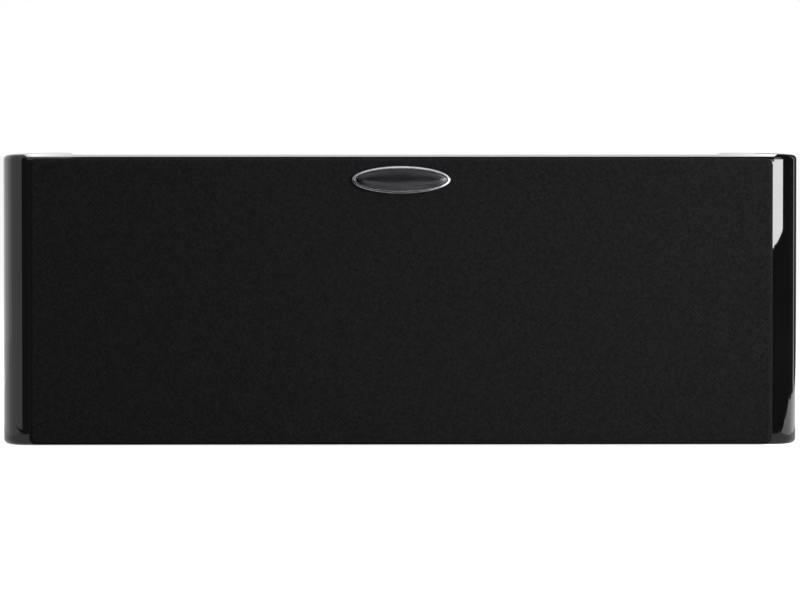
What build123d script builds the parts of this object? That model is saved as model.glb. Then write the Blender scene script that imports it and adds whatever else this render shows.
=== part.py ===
"""Center channel loudspeaker: bowed gloss cabinet, cloth grille, two woofers, dome tweeter, crossover.

Millimetres. +Z is up, +X is to the listener's right and the front faces -Y. The origin is under the
middle of the whole speaker, on the surface that it stands on. Depths are measured backwards from the
front face of the baffle, so a depth below zero is in front of the baffle.
"""
import os
from math import asin, cos, degrees, radians, sin, sqrt, tan

from build123d import *

# Cabinet
WIDTH = 502.0
HEIGHT = 183.0
CABINET_DEPTH = 206.0
SIDE_THICKNESS = 16.0
PANEL_THICKNESS = 15.0
BAFFLE_THICKNESS = 18.0
REAR_THICKNESS = 15.0
CORNER_RADIUS = 14.0
CORNER_TURN = 58.0
SIDE_BOW_RADIUS = 900.0
EDGE_RADIUS = 3.5
TOP_STEP = 1.3
STEP_BEVEL = 2.2
REAR_CORNER_RADIUS = 4.0

# Brace and wadding inside the cabinet
BRACE_THICKNESS = 12.0
BRACE_FRONT_DEPTH = 70.0
BRACE_HOLE_COLUMNS = 2
BRACE_HOLE_ROWS = 3
BRACE_HOLE_SHARE = 0.78
PAD_THICKNESS = 20.0
PAD_MARGIN = 8.0
PAD_SIDE_MARGIN = 17.0
PAD_BOARD_GAP = 10.0
PAD_CORNER_RADIUS = 6.0

# Grille
GRILLE_END_MARGIN = 17.8
GRILLE_MARGIN = 1.1
GRILLE_DEPTH = 14.0
GRILLE_CORNER_RADIUS = 4.5
GRILLE_EDGE_RADIUS = 3.0
CLOTH_THICKNESS = 0.8
CLOTH_BACK_GAP = 0.5
FRAME_WALL = 2.5
FRAME_FACE = 3.0
RAIL_WIDTH = 11.0
RIB_WIDTH = 12.0
WOOFER_WINDOW_RADIUS = 40.0
TWEETER_WINDOW_RADIUS = 30.0
PEG_RADIUS = 3.5
PEG_LENGTH = 9.0
PEG_TIP = 1.2
PEG_INSET_Z = 21.5
PEG_INSET_X = 16.5
CUP_WALL = 1.7
CUP_DEPTH = 12.0
SLIDE_CLEARANCE = 0.05
GLUE_CLEARANCE = 0.05

# Badge plate
BADGE_LENGTH = 61.6
BADGE_HEIGHT = 17.2
BADGE_THICKNESS = 1.8
BADGE_RIM = 1.7
BADGE_FIELD_DEPTH = 0.7
BADGE_DROP = 13.3

# Woofers
FLANGE_MARGIN = 4.5
FLANGE_WIDTH = 11.5
FLANGE_THICKNESS = 4.5
DRIVER_END_SHARE = 0.218
CUTOUT_CLEARANCE = 1.0
REBATE_CLEARANCE = 0.3
BASKET_WALL = 2.0
LANDING_WIDTH = 3.5
LANDING_DEPTH = 1.5
THROAT_DEPTH = 6.0
SHELF_RADIUS = 40.0
SHELF_DEPTH = 30.0
SHELF_WIDTH = 5.5
CHASSIS_DEPTH = 46.0
BASKET_WINDOWS = 6
BASKET_SPOKE = 13.0
WINDOW_MARGIN = 3.0
ROLL_WIDTH = 6.5
CONE_RIM = 3.0
CONE_RIM_DEPTH = 3.5
CONE_SHEET = 0.7
CONE_LAND_DEPTH = 24.0
CONE_LAND_RADIUS = 18.0
CONE_SAG = 2.2
COLLAR_LENGTH = 4.0
SURROUND_SHEET = 0.7
SURROUND_RISE = 5.0
CAP_RADIUS = 17.0
CAP_RISE = 5.5
CAP_SHEET = 0.6
FORMER_RADIUS = 12.9
FORMER_WALL = 0.4
WINDING_THICKNESS = 0.5
WINDING_LENGTH = 12.0
FORMER_TAIL = 1.0
GAP_CLEARANCE = 0.5
SPIDER_SHEET = 0.6
SPIDER_WAVES = 4
SPIDER_RISE = 1.2
TOP_PLATE_RADIUS = 40.0
TOP_PLATE_THICKNESS = 6.0
MAGNET_RADIUS = 45.0
MAGNET_BORE_RADIUS = 20.0
MAGNET_THICKNESS = 15.0
BACK_PLATE_THICKNESS = 6.0
VENT_RADIUS = 4.0
TAG_WIDTH = 14.0
TAG_THICKNESS = 1.5
TAG_LENGTH = 18.0
TAG_LEAD_SHARE = 0.8

# Wood screws that hold the drivers and the terminal cup
SCREW_RADIUS = 1.9
SCREW_HEAD_RADIUS = 3.8
SCREW_HEAD_DEPTH = 2.2
SCREW_LENGTH = 16.0
SCREW_CLEARANCE = 0.05
HEAD_CLEARANCE = 0.2
DRIVE_RADIUS = 1.4
DRIVE_DEPTH = 1.2
WOOFER_SCREW_INSET = 6.0
TWEETER_SCREW_CIRCLE = 88.0
SCREWS_PER_DRIVER = 4
FIRST_SCREW_ANGLE = 45.0

# Tweeter
FACEPLATE_RADIUS = 52.0
FACEPLATE_THICKNESS = 4.0
TWEETER_CUTOUT_RADIUS = 38.0
SKIRT_RADIUS = 36.5
SKIRT_WALL = 3.5
SKIRT_LENGTH = 5.0
HORN_RADIUS = 30.0
HORN_SAG = 0.75
DOME_RADIUS = 12.7
DOME_RISE = 6.0
DOME_SHEET = 0.4
DOME_ROLL_RADIUS = 17.0
DOME_ROLL_RISE = 1.6
DOME_FLANGE_RADIUS = 21.0
DOME_COIL_WALL = 0.6
DOME_COIL_LENGTH = 9.0
TWEETER_GAP_CLEARANCE = 0.4
TWEETER_PLATE_THICKNESS = 4.0
TWEETER_MAGNET_RADIUS = 36.0
TWEETER_MAGNET_BORE = 17.0
TWEETER_MAGNET_THICKNESS = 10.0
TWEETER_TAG_DROP = 22.0

# Bass port in the rear panel
PORT_X = -62.0
PORT_RADIUS = 25.0
PORT_WALL = 3.0
PORT_LENGTH = 110.0
PORT_FLARE_RADIUS = 12.0
PORT_RIM = 6.0
PORT_EDGE = 0.8
REAR_FLANGE = 2.5
PORT_CLEARANCE = 0.3

# Terminal cup, binding posts and crossover
CUP_X = 62.0
CUP_PLATE_WIDTH = 96.0
CUP_PLATE_HEIGHT = 76.0
CUP_PLATE_RADIUS = 9.0
TUB_WIDTH = 72.0
TUB_HEIGHT = 52.0
TUB_RADIUS = 8.0
TUB_DEPTH = 26.0
TUB_WALL = 2.5
TUB_FLOOR = 3.0
TUB_CLEARANCE = 0.5
CUP_SCREW_INSET = 6.5
POST_SPACING = 19.05
POST_RADIUS = 3.0
POST_LENGTH = 15.0
POST_TAIL = 11.5
POST_COLLAR_RADIUS = 6.5
POST_COLLAR_HEIGHT = 3.0
SOCKET_RADIUS = 2.05
SOCKET_DEPTH = 11.0
WIRE_HOLE_RADIUS = 1.4
WIRE_HOLE_HEIGHT = 2.0
CLAMP_RADIUS = 6.3
CLAMP_THICKNESS = 1.5
KNOB_RADIUS = 6.5
KNOB_LENGTH = 14.0
KNOB_GRIPS = 12
KNOB_GRIP_RADIUS = 0.9
KNOB_EDGE = 0.8
NUT_ACROSS_FLATS = 10.0
NUT_HEIGHT = 4.0
BOARD_WIDTH = 92.0
BOARD_HEIGHT = 72.0
BOARD_THICKNESS = 1.6
BOARD_CORNER_RADIUS = 3.0
SEAT_CLEARANCE = 0.05
WOOFER_COIL_RADIUS = 14.0
WOOFER_COIL_BORE = 6.0
WOOFER_COIL_HEIGHT = 18.0
TWEETER_COIL_RADIUS = 12.0
TWEETER_COIL_BORE = 4.0
TWEETER_COIL_HEIGHT = 13.0
WOOFER_COIL_OFFSET = 30.0
TWEETER_COIL_OFFSET = 28.0
COIL_LIFT = 14.0
CHEEK_THICKNESS = 1.5
CHEEK_OVERHANG = 1.5
CAPACITOR_RADII = (7.0, 6.0, 5.0)
CAPACITOR_LENGTHS = (30.0, 26.0, 22.0)
CAPACITOR_GAP = 2.0
RESISTOR_LENGTH = 26.0
RESISTOR_WIDTH = 9.0
RESISTOR_HEIGHT = 9.0
LEAD_RADIUS = 1.8
LEAD_BEND_SHARE = 0.45
LEAD_RUN_OUT = 22.0
LEAD_BOARD_INSET = 4.0
WOOFER_LEAD_DROP = 8.5
TWEETER_LEAD_RISE = 30.5
BRACE_PASS = 14.0

# Places that follow from the sizes above
OVERALL_DEPTH = BADGE_THICKNESS + GRILLE_DEPTH + CABINET_DEPTH + REAR_FLANGE
FRONT_Y = BADGE_THICKNESS + GRILLE_DEPTH - OVERALL_DEPTH / 2
FACE_HALF_WIDTH = WIDTH / 2 - SIDE_THICKNESS
CORNER_SINE = sin(radians(CORNER_TURN))
CORNER_COSINE = cos(radians(CORNER_TURN))
BLEND_RADIUS = (SIDE_THICKNESS - CORNER_RADIUS * CORNER_SINE) / (1 - CORNER_SINE)
BOW_START = CORNER_RADIUS * (1 - CORNER_COSINE) + BLEND_RADIUS * CORNER_COSINE
INNER_BOW_RADIUS = SIDE_BOW_RADIUS - SIDE_THICKNESS
MIDDLE_Z = HEIGHT / 2
CORE_HEIGHT = HEIGHT - TOP_STEP
INNER_HEIGHT = HEIGHT - 2 * PANEL_THICKNESS
REAR_INSIDE = CABINET_DEPTH - REAR_THICKNESS
INNER_BOW = INNER_BOW_RADIUS - sqrt(INNER_BOW_RADIUS**2 - (REAR_INSIDE - BOW_START) ** 2)
REAR_HALF_WIDTH = FACE_HALF_WIDTH - INNER_BOW
BRACE_MIDDLE = (REAR_INSIDE + BRACE_FRONT_DEPTH) / 2
BRACE_COLUMN_PITCH = (REAR_INSIDE - BRACE_FRONT_DEPTH) / BRACE_HOLE_COLUMNS
BRACE_ROW_PITCH = INNER_HEIGHT / BRACE_HOLE_ROWS
BRACE_HOLE_RADIUS = BRACE_HOLE_SHARE * min(BRACE_COLUMN_PITCH, BRACE_ROW_PITCH) / 2
FLANGE_RADIUS = INNER_HEIGHT / 2 - FLANGE_MARGIN
LANDING_RADIUS = FLANGE_RADIUS - FLANGE_WIDTH
CUTOUT_RADIUS = LANDING_RADIUS + CUTOUT_CLEARANCE
THROAT_RADIUS = LANDING_RADIUS - LANDING_WIDTH
CONE_RADIUS = THROAT_RADIUS - ROLL_WIDTH
WOOFER_SCREW_CIRCLE = 2 * (FLANGE_RADIUS - WOOFER_SCREW_INSET)
DRIVER_GAPS = 2 * (FACE_HALF_WIDTH - 2 * FLANGE_RADIUS - FACEPLATE_RADIUS)
WOOFER_X = FACE_HALF_WIDTH - FLANGE_RADIUS - DRIVER_END_SHARE * DRIVER_GAPS
GRILLE_WIDTH = WIDTH - 2 * GRILLE_END_MARGIN
GRILLE_HEIGHT = CORE_HEIGHT - 2 * GRILLE_MARGIN
GRILLE_Z = CORE_HEIGHT / 2
CUP_FACE = CABINET_DEPTH + REAR_FLANGE
PORT_MOUTH_RADIUS = PORT_RADIUS + PORT_FLARE_RADIUS
TUB_FLOOR_DEPTH = CUP_FACE - TUB_DEPTH
TUB_BACK = TUB_FLOOR_DEPTH - TUB_FLOOR
BOARD_BACK = TUB_BACK - NUT_HEIGHT
BOARD_FRONT = BOARD_BACK - BOARD_THICKNESS
PAD_INNER_X = CUP_X + BOARD_WIDTH / 2 + PAD_BOARD_GAP
PAD_WIDTH = REAR_HALF_WIDTH - PAD_SIDE_MARGIN - PAD_INNER_X
CUP_OUTER_RADIUS = PEG_RADIUS + SLIDE_CLEARANCE + CUP_WALL
SCREW_STEP = 360.0 / SCREWS_PER_DRIVER
SCREW_ANGLES = [FIRST_SCREW_ANGLE + SCREW_STEP * turn for turn in range(SCREWS_PER_DRIVER)]
TWEETER_TOP = FACEPLATE_THICKNESS + SKIRT_LENGTH
TWEETER_REAR = TWEETER_TOP + TWEETER_MAGNET_THICKNESS + 2 * TWEETER_PLATE_THICKNESS
PEG_PLACES = [
    (side * x, MIDDLE_Z + level * (MIDDLE_Z - PEG_INSET_Z))
    for side in (-1, 1)
    for x in (GRILLE_WIDTH / 2 - PEG_INSET_X, (WOOFER_X - FLANGE_RADIUS + FACEPLATE_RADIUS) / 2)
    for level in (-1, 1)
]


def block(x_range, depth_range, z_range):
    """A box between two places on each axis."""
    size = [high - low for low, high in (x_range, depth_range, z_range)]
    middle = [(low + high) / 2 for low, high in (x_range, depth_range, z_range)]
    return Pos(middle[0], FRONT_Y + middle[1], middle[2]) * Box(*size)


def prism(sketch, x, z, depth_from, depth_to):
    """A sketch drawn as the front sees it, extruded between two depths."""
    start = min(depth_from, depth_to)
    length = abs(depth_to - depth_from)
    plane = Plane(origin=(x, FRONT_Y + start + length, z), x_dir=(1, 0, 0), z_dir=(0, -1, 0))
    return extrude(plane * sketch, length)


def rod(radius, x, z, depth_from, depth_to):
    """A round bar along the depth."""
    return prism(Circle(radius), x, z, depth_from, depth_to)


def turned(outline, x, z):
    """A closed outline of (radius, depth) turned about an axis that runs front to back."""
    return Pos(x, FRONT_Y, z) * revolve(make_face(outline), Axis.Y)


def turned_ring(points, x, z):
    """A turned piece with straight sides."""
    return turned(Polyline(*points, close=True), x, z)


def ring(outer, inner, depth_from, depth_to, x, z):
    """A flat ring with its axis along the depth."""
    return turned_ring([(inner, depth_from), (outer, depth_from), (outer, depth_to), (inner, depth_to)], x, z)


def around(x, z, circle, angles):
    """Places on a screw circle, as (x, z)."""
    return [(x + circle / 2 * cos(radians(a)), z + circle / 2 * sin(radians(a))) for a in angles]


def group(pieces):
    """Separate solids kept together in one node."""
    return Compound(children=[solid for piece in pieces for solid in piece.solids()])


def save(name, shape):
    """Write one node."""
    export_step(shape, f"parts/{name}.step")


def cabinet_plan():
    """Plan of the cabinet: flat front, corners that round into bowed sides, flat rear."""
    front = Line((0, 0), (FACE_HALF_WIDTH, 0))
    corner = JernArc(front @ 1, (1, 0), CORNER_RADIUS, CORNER_TURN)
    blend = JernArc(corner @ 1, corner % 1, BLEND_RADIUS, 90 - CORNER_TURN)
    sweep_angle = degrees(asin((CABINET_DEPTH - BOW_START) / SIDE_BOW_RADIUS))
    bow = JernArc(blend @ 1, (0, 1), SIDE_BOW_RADIUS, sweep_angle)
    rear = Line(bow @ 1, (0, CABINET_DEPTH))
    centre = Line(rear @ 1, (0, 0))
    half = make_face([front, corner, blend, bow, rear, centre])
    return half + mirror(half, about=Plane.YZ)


def core_plan():
    """Plan of what lies between the two side panels."""
    front = Line((0, 0), (FACE_HALF_WIDTH, 0))
    straight = Line(front @ 1, (FACE_HALF_WIDTH, BOW_START))
    sweep_angle = degrees(asin((CABINET_DEPTH - BOW_START) / INNER_BOW_RADIUS))
    bow = JernArc(straight @ 1, (0, 1), INNER_BOW_RADIUS, sweep_angle)
    rear = Line(bow @ 1, (0, CABINET_DEPTH))
    centre = Line(rear @ 1, (0, 0))
    half = make_face([front, straight, bow, rear, centre])
    return half + mirror(half, about=Plane.YZ)


def cabinet():
    """End panels and the core between them, as (ends, core). The core stops a step below the end panels."""
    shell = Pos(0, FRONT_Y, 0) * extrude(cabinet_plan(), HEIGHT)
    rear_edges = shell.edges().filter_by(Axis.Z).group_by(Axis.Y)[-1]
    shell = fillet(rear_edges, REAR_CORNER_RADIUS)
    shell = fillet(shell.faces().filter_by(Axis.Z).edges(), EDGE_RADIUS)
    plan = Pos(0, FRONT_Y, 0) * core_plan()
    flare = offset(plan, STEP_BEVEL, kind=Kind.INTERSECTION)
    bevel = loft([Pos(0, 0, CORE_HEIGHT) * plan, Pos(0, 0, HEIGHT) * flare], ruled=True)
    ends = shell - [extrude(plan, HEIGHT), bevel]
    core = extrude(plan, CORE_HEIGHT)
    core = fillet(core.edges().filter_by(Axis.X), EDGE_RADIUS)
    return ends.solids().sort_by(Axis.X), core


def front_baffle(core):
    """Baffle with flush rebates for the drivers, screw holes and holes for the grille cups."""
    board = core & block((-WIDTH, WIDTH), (0, BAFFLE_THICKNESS), (PANEL_THICKNESS, HEIGHT - PANEL_THICKNESS))
    cuts = []
    pilots = []
    for x in (-WOOFER_X, WOOFER_X):
        cuts.append(rod(CUTOUT_RADIUS, x, MIDDLE_Z, 0, BAFFLE_THICKNESS))
        cuts.append(rod(FLANGE_RADIUS + REBATE_CLEARANCE, x, MIDDLE_Z, 0, FLANGE_THICKNESS))
        pilots += around(x, MIDDLE_Z, WOOFER_SCREW_CIRCLE, SCREW_ANGLES)
    cuts.append(rod(TWEETER_CUTOUT_RADIUS, 0, MIDDLE_Z, 0, BAFFLE_THICKNESS))
    cuts.append(rod(FACEPLATE_RADIUS + REBATE_CLEARANCE, 0, MIDDLE_Z, 0, FACEPLATE_THICKNESS))
    pilots += around(0, MIDDLE_Z, TWEETER_SCREW_CIRCLE, SCREW_ANGLES)
    cuts += [rod(SCREW_RADIUS + SCREW_CLEARANCE, x, z, 0, SCREW_LENGTH) for x, z in pilots]
    cuts += [rod(CUP_OUTER_RADIUS + GLUE_CLEARANCE, x, z, 0, CUP_DEPTH) for x, z in PEG_PLACES]
    return board - cuts


def cup_screw_places():
    """Screws at the corners of the terminal plate."""
    x = CUP_PLATE_WIDTH / 2 - CUP_SCREW_INSET
    z = CUP_PLATE_HEIGHT / 2 - CUP_SCREW_INSET
    return [(CUP_X + i * x, MIDDLE_Z + j * z) for i in (-1, 1) for j in (-1, 1)]


def rear_panel(core):
    """Rear panel with the port hole, the terminal cut-out and pilot holes."""
    inside = (PANEL_THICKNESS, HEIGHT - PANEL_THICKNESS)
    board = core & block((-WIDTH, WIDTH), (REAR_INSIDE, CABINET_DEPTH), inside)
    room = 2 * (TUB_WALL + TUB_CLEARANCE)
    tub = RectangleRounded(TUB_WIDTH + room, TUB_HEIGHT + room, TUB_RADIUS + room / 2)
    cuts = [
        rod(PORT_MOUTH_RADIUS + PORT_CLEARANCE, PORT_X, MIDDLE_Z, REAR_INSIDE, CABINET_DEPTH),
        prism(tub, CUP_X, MIDDLE_Z, REAR_INSIDE, CABINET_DEPTH),
    ]
    pilot_end = CUP_FACE - SCREW_LENGTH
    pilot_radius = SCREW_RADIUS + SCREW_CLEARANCE
    cuts += [rod(pilot_radius, x, z, pilot_end, CABINET_DEPTH) for x, z in cup_screw_places()]
    return board - cuts


def centre_brace():
    """Pierced brace behind the tweeter that ties top, bottom and rear together."""
    half = BRACE_THICKNESS / 2
    low, high = PANEL_THICKNESS, HEIGHT - PANEL_THICKNESS
    board = block((-half, half), (BRACE_FRONT_DEPTH, REAR_INSIDE), (low, high))
    plane = Plane(origin=(-half, FRONT_Y + BRACE_MIDDLE, MIDDLE_Z), x_dir=(0, 1, 0), z_dir=(1, 0, 0))
    places = GridLocations(BRACE_COLUMN_PITCH, BRACE_ROW_PITCH, BRACE_HOLE_COLUMNS, BRACE_HOLE_ROWS)
    return board - [extrude(plane * place * Circle(BRACE_HOLE_RADIUS), BRACE_THICKNESS) for place in places]


def damping_pad(side):
    """Wadding against the rear panel behind a woofer."""
    sketch = RectangleRounded(PAD_WIDTH, INNER_HEIGHT - 2 * PAD_MARGIN, PAD_CORNER_RADIUS)
    x = side * (PAD_INNER_X + PAD_WIDTH / 2)
    return prism(sketch, x, MIDDLE_Z, REAR_INSIDE - PAD_THICKNESS, REAR_INSIDE)


def window_places():
    """Centre, width and corner radius of each window of the grille frame."""
    frame_half = GRILLE_WIDTH / 2 - CLOTH_THICKNESS
    rib_middle = (WOOFER_X - FLANGE_RADIUS + FACEPLATE_RADIUS) / 2
    inner = rib_middle + RIB_WIDTH / 2
    outer = frame_half - RAIL_WIDTH
    middle = (inner + outer) / 2
    width = outer - inner
    return [
        (-middle, width, WOOFER_WINDOW_RADIUS),
        (0, 2 * rib_middle - RIB_WIDTH, TWEETER_WINDOW_RADIUS),
        (middle, width, WOOFER_WINDOW_RADIUS),
    ]


def grille_blank(shrink, back):
    """The grille's outer form, shrunk by a cloth thickness or not, with a rolled front edge."""
    sketch = RectangleRounded(
        GRILLE_WIDTH - 2 * shrink, GRILLE_HEIGHT - 2 * shrink, GRILLE_CORNER_RADIUS - shrink
    )
    blank = prism(sketch, 0, GRILLE_Z, shrink - GRILLE_DEPTH, back)
    front = blank.faces().sort_by(Axis.Y)[0]
    return fillet(front.edges(), GRILLE_EDGE_RADIUS - shrink)


def grille_frame():
    """Moulded frame: a hollow-backed border with two ribs, three windows and pegs on its back."""
    blank = grille_blank(CLOTH_THICKNESS, 0)
    window_height = GRILLE_HEIGHT - 2 * CLOTH_THICKNESS - 2 * RAIL_WIDTH
    wall = 2 * FRAME_WALL
    openings = Sketch()
    islands = Sketch()
    for x, width, radius in window_places():
        openings += Pos(x, 0) * RectangleRounded(width, window_height, radius)
        islands += Pos(x, 0) * RectangleRounded(width + wall, window_height + wall, radius + FRAME_WALL)
    trim = 2 * CLOTH_THICKNESS + wall
    channel = RectangleRounded(GRILLE_WIDTH - trim, GRILLE_HEIGHT - trim, FRAME_WALL / 2) - islands
    face_back = CLOTH_THICKNESS + FRAME_FACE - GRILLE_DEPTH
    frame = blank - prism(openings, 0, GRILLE_Z, -GRILLE_DEPTH, 0)
    frame -= prism(channel, 0, GRILLE_Z, face_back, 0)
    pegs = [rod(PEG_RADIUS, x, z, face_back, PEG_LENGTH) for x, z in PEG_PLACES]
    pegs = [chamfer(peg.faces().sort_by(Axis.Y)[-1].edges(), PEG_TIP) for peg in pegs]
    return frame + pegs


def grille_cloth():
    """Cloth stretched over the front and sides of the frame."""
    skin = grille_blank(0, -CLOTH_BACK_GAP)
    return skin - grille_blank(CLOTH_THICKNESS, 0)


def grille_cups():
    """Sockets in the baffle that grip the grille's pegs."""
    cups = []
    bore = PEG_RADIUS + SLIDE_CLEARANCE
    floor = CUP_DEPTH - CUP_WALL
    for x, z in PEG_PLACES:
        cups.append(rod(CUP_OUTER_RADIUS, x, z, 0, CUP_DEPTH) - rod(bore, x, z, 0, floor))
    return group(cups)


def badge():
    """Bare oval plate with a raised rim."""
    z = GRILLE_Z + GRILLE_HEIGHT / 2 - BADGE_DROP
    front = -GRILLE_DEPTH - BADGE_THICKNESS
    plate = prism(Ellipse(BADGE_LENGTH / 2, BADGE_HEIGHT / 2), 0, z, front, -GRILLE_DEPTH)
    field = Ellipse(BADGE_LENGTH / 2 - BADGE_RIM, BADGE_HEIGHT / 2 - BADGE_RIM)
    plate -= prism(field, 0, z, front, front + BADGE_FIELD_DEPTH)
    rim = plate.faces().sort_by(Axis.Y)[0]
    return fillet(rim.edges(), BADGE_FIELD_DEPTH / 2)


def basket(x):
    """Woofer chassis: screw flange, tapered wall with windows, spider shelf and rear cup."""
    shelf_inner = SHELF_RADIUS - SHELF_WIDTH
    bottom = CHASSIS_DEPTH - BASKET_WALL
    hole = coil_outer_radius() + GAP_CLEARANCE
    slope = BASKET_WALL * sqrt(1 + ((THROAT_RADIUS - SHELF_RADIUS) / (SHELF_DEPTH - THROAT_DEPTH)) ** 2)
    points = [
        (FLANGE_RADIUS, 0),
        (LANDING_RADIUS, 0),
        (LANDING_RADIUS, LANDING_DEPTH),
        (THROAT_RADIUS, LANDING_DEPTH),
        (THROAT_RADIUS, THROAT_DEPTH),
        (SHELF_RADIUS, SHELF_DEPTH),
        (shelf_inner, SHELF_DEPTH),
        (shelf_inner, bottom),
        (hole, bottom),
        (hole, CHASSIS_DEPTH),
        (shelf_inner + BASKET_WALL, CHASSIS_DEPTH),
        (shelf_inner + BASKET_WALL, SHELF_DEPTH + BASKET_WALL),
        (SHELF_RADIUS + slope, SHELF_DEPTH + BASKET_WALL),
        (SHELF_RADIUS + slope, SHELF_DEPTH),
        (THROAT_RADIUS + slope, THROAT_DEPTH),
        (THROAT_RADIUS + slope, FLANGE_THICKNESS),
        (FLANGE_RADIUS, FLANGE_THICKNESS),
    ]
    body = turned_ring(points, x, MIDDLE_Z)
    body -= basket_windows(x)
    holes = around(x, MIDDLE_Z, WOOFER_SCREW_CIRCLE, SCREW_ANGLES)
    return body - screw_holes(holes, FLANGE_THICKNESS)


def basket_windows(x):
    """The openings between the spokes of a woofer chassis."""
    start = THROAT_DEPTH + WINDOW_MARGIN
    end = SHELF_DEPTH - WINDOW_MARGIN
    zone = ring(FLANGE_RADIUS, SHELF_RADIUS - SHELF_WIDTH, start, end, x, MIDDLE_Z)
    half = BASKET_SPOKE / 2
    for turn in range(BASKET_WINDOWS // 2):
        spoke = block((-FLANGE_RADIUS, FLANGE_RADIUS), (start, end), (-half, half))
        zone -= Pos(x, 0, MIDDLE_Z) * Rot(0, 360.0 / BASKET_WINDOWS * turn, 0) * spoke
    return zone


def screw_holes(places, thickness):
    """Clearance holes with counterbores for flush screw heads."""
    cuts = []
    for x, z in places:
        cuts.append(rod(SCREW_RADIUS + SCREW_CLEARANCE, x, z, 0, thickness))
        cuts.append(rod(SCREW_HEAD_RADIUS + HEAD_CLEARANCE, x, z, 0, SCREW_HEAD_DEPTH))
    return cuts


def screws(places, face=0.0, inward=1):
    """Wood screws with a hexagon drive, heads flush with a face and shanks going inwards."""
    made = []
    for x, z in places:
        head = rod(SCREW_HEAD_RADIUS, x, z, face, face + inward * SCREW_HEAD_DEPTH)
        shank = rod(SCREW_RADIUS, x, z, face + inward * SCREW_HEAD_DEPTH, face + inward * SCREW_LENGTH)
        drive = prism(RegularPolygon(DRIVE_RADIUS, 6), x, z, face, face + inward * DRIVE_DEPTH)
        made.append(head + shank - drive)
    return group(made)


def coil_outer_radius():
    """Outside of the woofer's winding."""
    return FORMER_RADIUS + WINDING_THICKNESS


def cone(x):
    """Flared paper cone with a glue rim, a land for the dust cap and a collar round the former."""
    collar_inner = FORMER_RADIUS + 2 * GLUE_CLEARANCE
    collar_outer = collar_inner + CONE_SHEET
    rim_inner = CONE_RADIUS - CONE_RIM
    collar_end = CONE_LAND_DEPTH + COLLAR_LENGTH
    front = [(CONE_RADIUS, CONE_RIM_DEPTH), (rim_inner, CONE_RIM_DEPTH)]
    land = (CONE_LAND_RADIUS, CONE_LAND_DEPTH)
    flare = bulged(front[1], land, CONE_SAG)
    back_rim = (rim_inner, CONE_RIM_DEPTH + CONE_SHEET)
    back_land = (CONE_LAND_RADIUS, CONE_LAND_DEPTH + CONE_SHEET)
    back_flare = bulged(back_rim, back_land, CONE_SAG)
    outline = [
        Line(front[0], front[1]),
        flare,
        Polyline(
            land,
            (collar_inner, CONE_LAND_DEPTH),
            (collar_inner, collar_end),
            (collar_outer, collar_end),
            (collar_outer, CONE_LAND_DEPTH + CONE_SHEET),
            back_land,
        ),
        back_flare,
        Polyline(back_rim, (CONE_RADIUS, CONE_RIM_DEPTH + CONE_SHEET), front[0]),
    ]
    return turned(outline, x, MIDDLE_Z)


def bulged(start, end, sag):
    """An arc between two outline points that sags backwards from the straight line."""
    middle = ((start[0] + end[0]) / 2, (start[1] + end[1]) / 2 + sag)
    return ThreePointArc(start, middle, end)


def surround(x):
    """Half-roll edge between the cone's rim and the chassis landing."""
    inner = CONE_RADIUS - CONE_RIM
    cone_seat = CONE_RIM_DEPTH - GLUE_CLEARANCE
    landing_seat = LANDING_DEPTH - GLUE_CLEARANCE
    outer = LANDING_RADIUS - 2 * GLUE_CLEARANCE
    roll_outer = THROAT_RADIUS
    crest = ((CONE_RADIUS + roll_outer) / 2, landing_seat - SURROUND_RISE)
    under_crest = (crest[0], crest[1] + SURROUND_SHEET)
    outline = [
        Polyline(
            (CONE_RADIUS, cone_seat),
            (inner, cone_seat),
            (inner, cone_seat - SURROUND_SHEET),
            (CONE_RADIUS - SURROUND_SHEET, cone_seat - SURROUND_SHEET),
        ),
        ThreePointArc(
            (CONE_RADIUS - SURROUND_SHEET, cone_seat - SURROUND_SHEET),
            crest,
            (roll_outer + SURROUND_SHEET, landing_seat - SURROUND_SHEET),
        ),
        Polyline(
            (roll_outer + SURROUND_SHEET, landing_seat - SURROUND_SHEET),
            (outer, landing_seat - SURROUND_SHEET),
            (outer, landing_seat),
            (roll_outer, landing_seat),
        ),
        ThreePointArc((roll_outer, landing_seat), under_crest, (CONE_RADIUS, cone_seat)),
    ]
    return turned(outline, x, MIDDLE_Z)


def dust_cap(x):
    """Domed cap glued to the cone's land."""
    seat = CONE_LAND_DEPTH - GLUE_CLEARANCE
    top = seat - CAP_RISE
    inner_rim = CAP_RADIUS - CAP_SHEET
    outline = [
        dome_arc(CAP_RADIUS, seat, top),
        Line((0, top), (0, top + CAP_SHEET)),
        dome_arc(inner_rim, seat, top + CAP_SHEET),
        Line((inner_rim, seat), (CAP_RADIUS, seat)),
    ]
    return turned(outline, x, MIDDLE_Z)


def dome_arc(rim_radius, rim_depth, top_depth):
    """A circular arc from a dome's rim to its top on the axis."""
    rise = rim_depth - top_depth
    sphere = (rim_radius**2 + rise**2) / (2 * rise)
    half_turn = asin(rim_radius / sphere) / 2
    middle = (sphere * sin(half_turn), top_depth + sphere * (1 - cos(half_turn)))
    return ThreePointArc((rim_radius, rim_depth), middle, (0, top_depth))


def voice_coil(x):
    """Former tube with its winding centred in the magnet gap."""
    gap_middle = CHASSIS_DEPTH + TOP_PLATE_THICKNESS / 2
    winding_from = gap_middle - WINDING_LENGTH / 2
    winding_to = gap_middle + WINDING_LENGTH / 2
    inner = FORMER_RADIUS - FORMER_WALL
    points = [
        (inner, CONE_LAND_DEPTH),
        (FORMER_RADIUS, CONE_LAND_DEPTH),
        (FORMER_RADIUS, winding_from),
        (coil_outer_radius(), winding_from),
        (coil_outer_radius(), winding_to),
        (FORMER_RADIUS, winding_to),
        (FORMER_RADIUS, winding_to + FORMER_TAIL),
        (inner, winding_to + FORMER_TAIL),
    ]
    return turned_ring(points, x, MIDDLE_Z)


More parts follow.
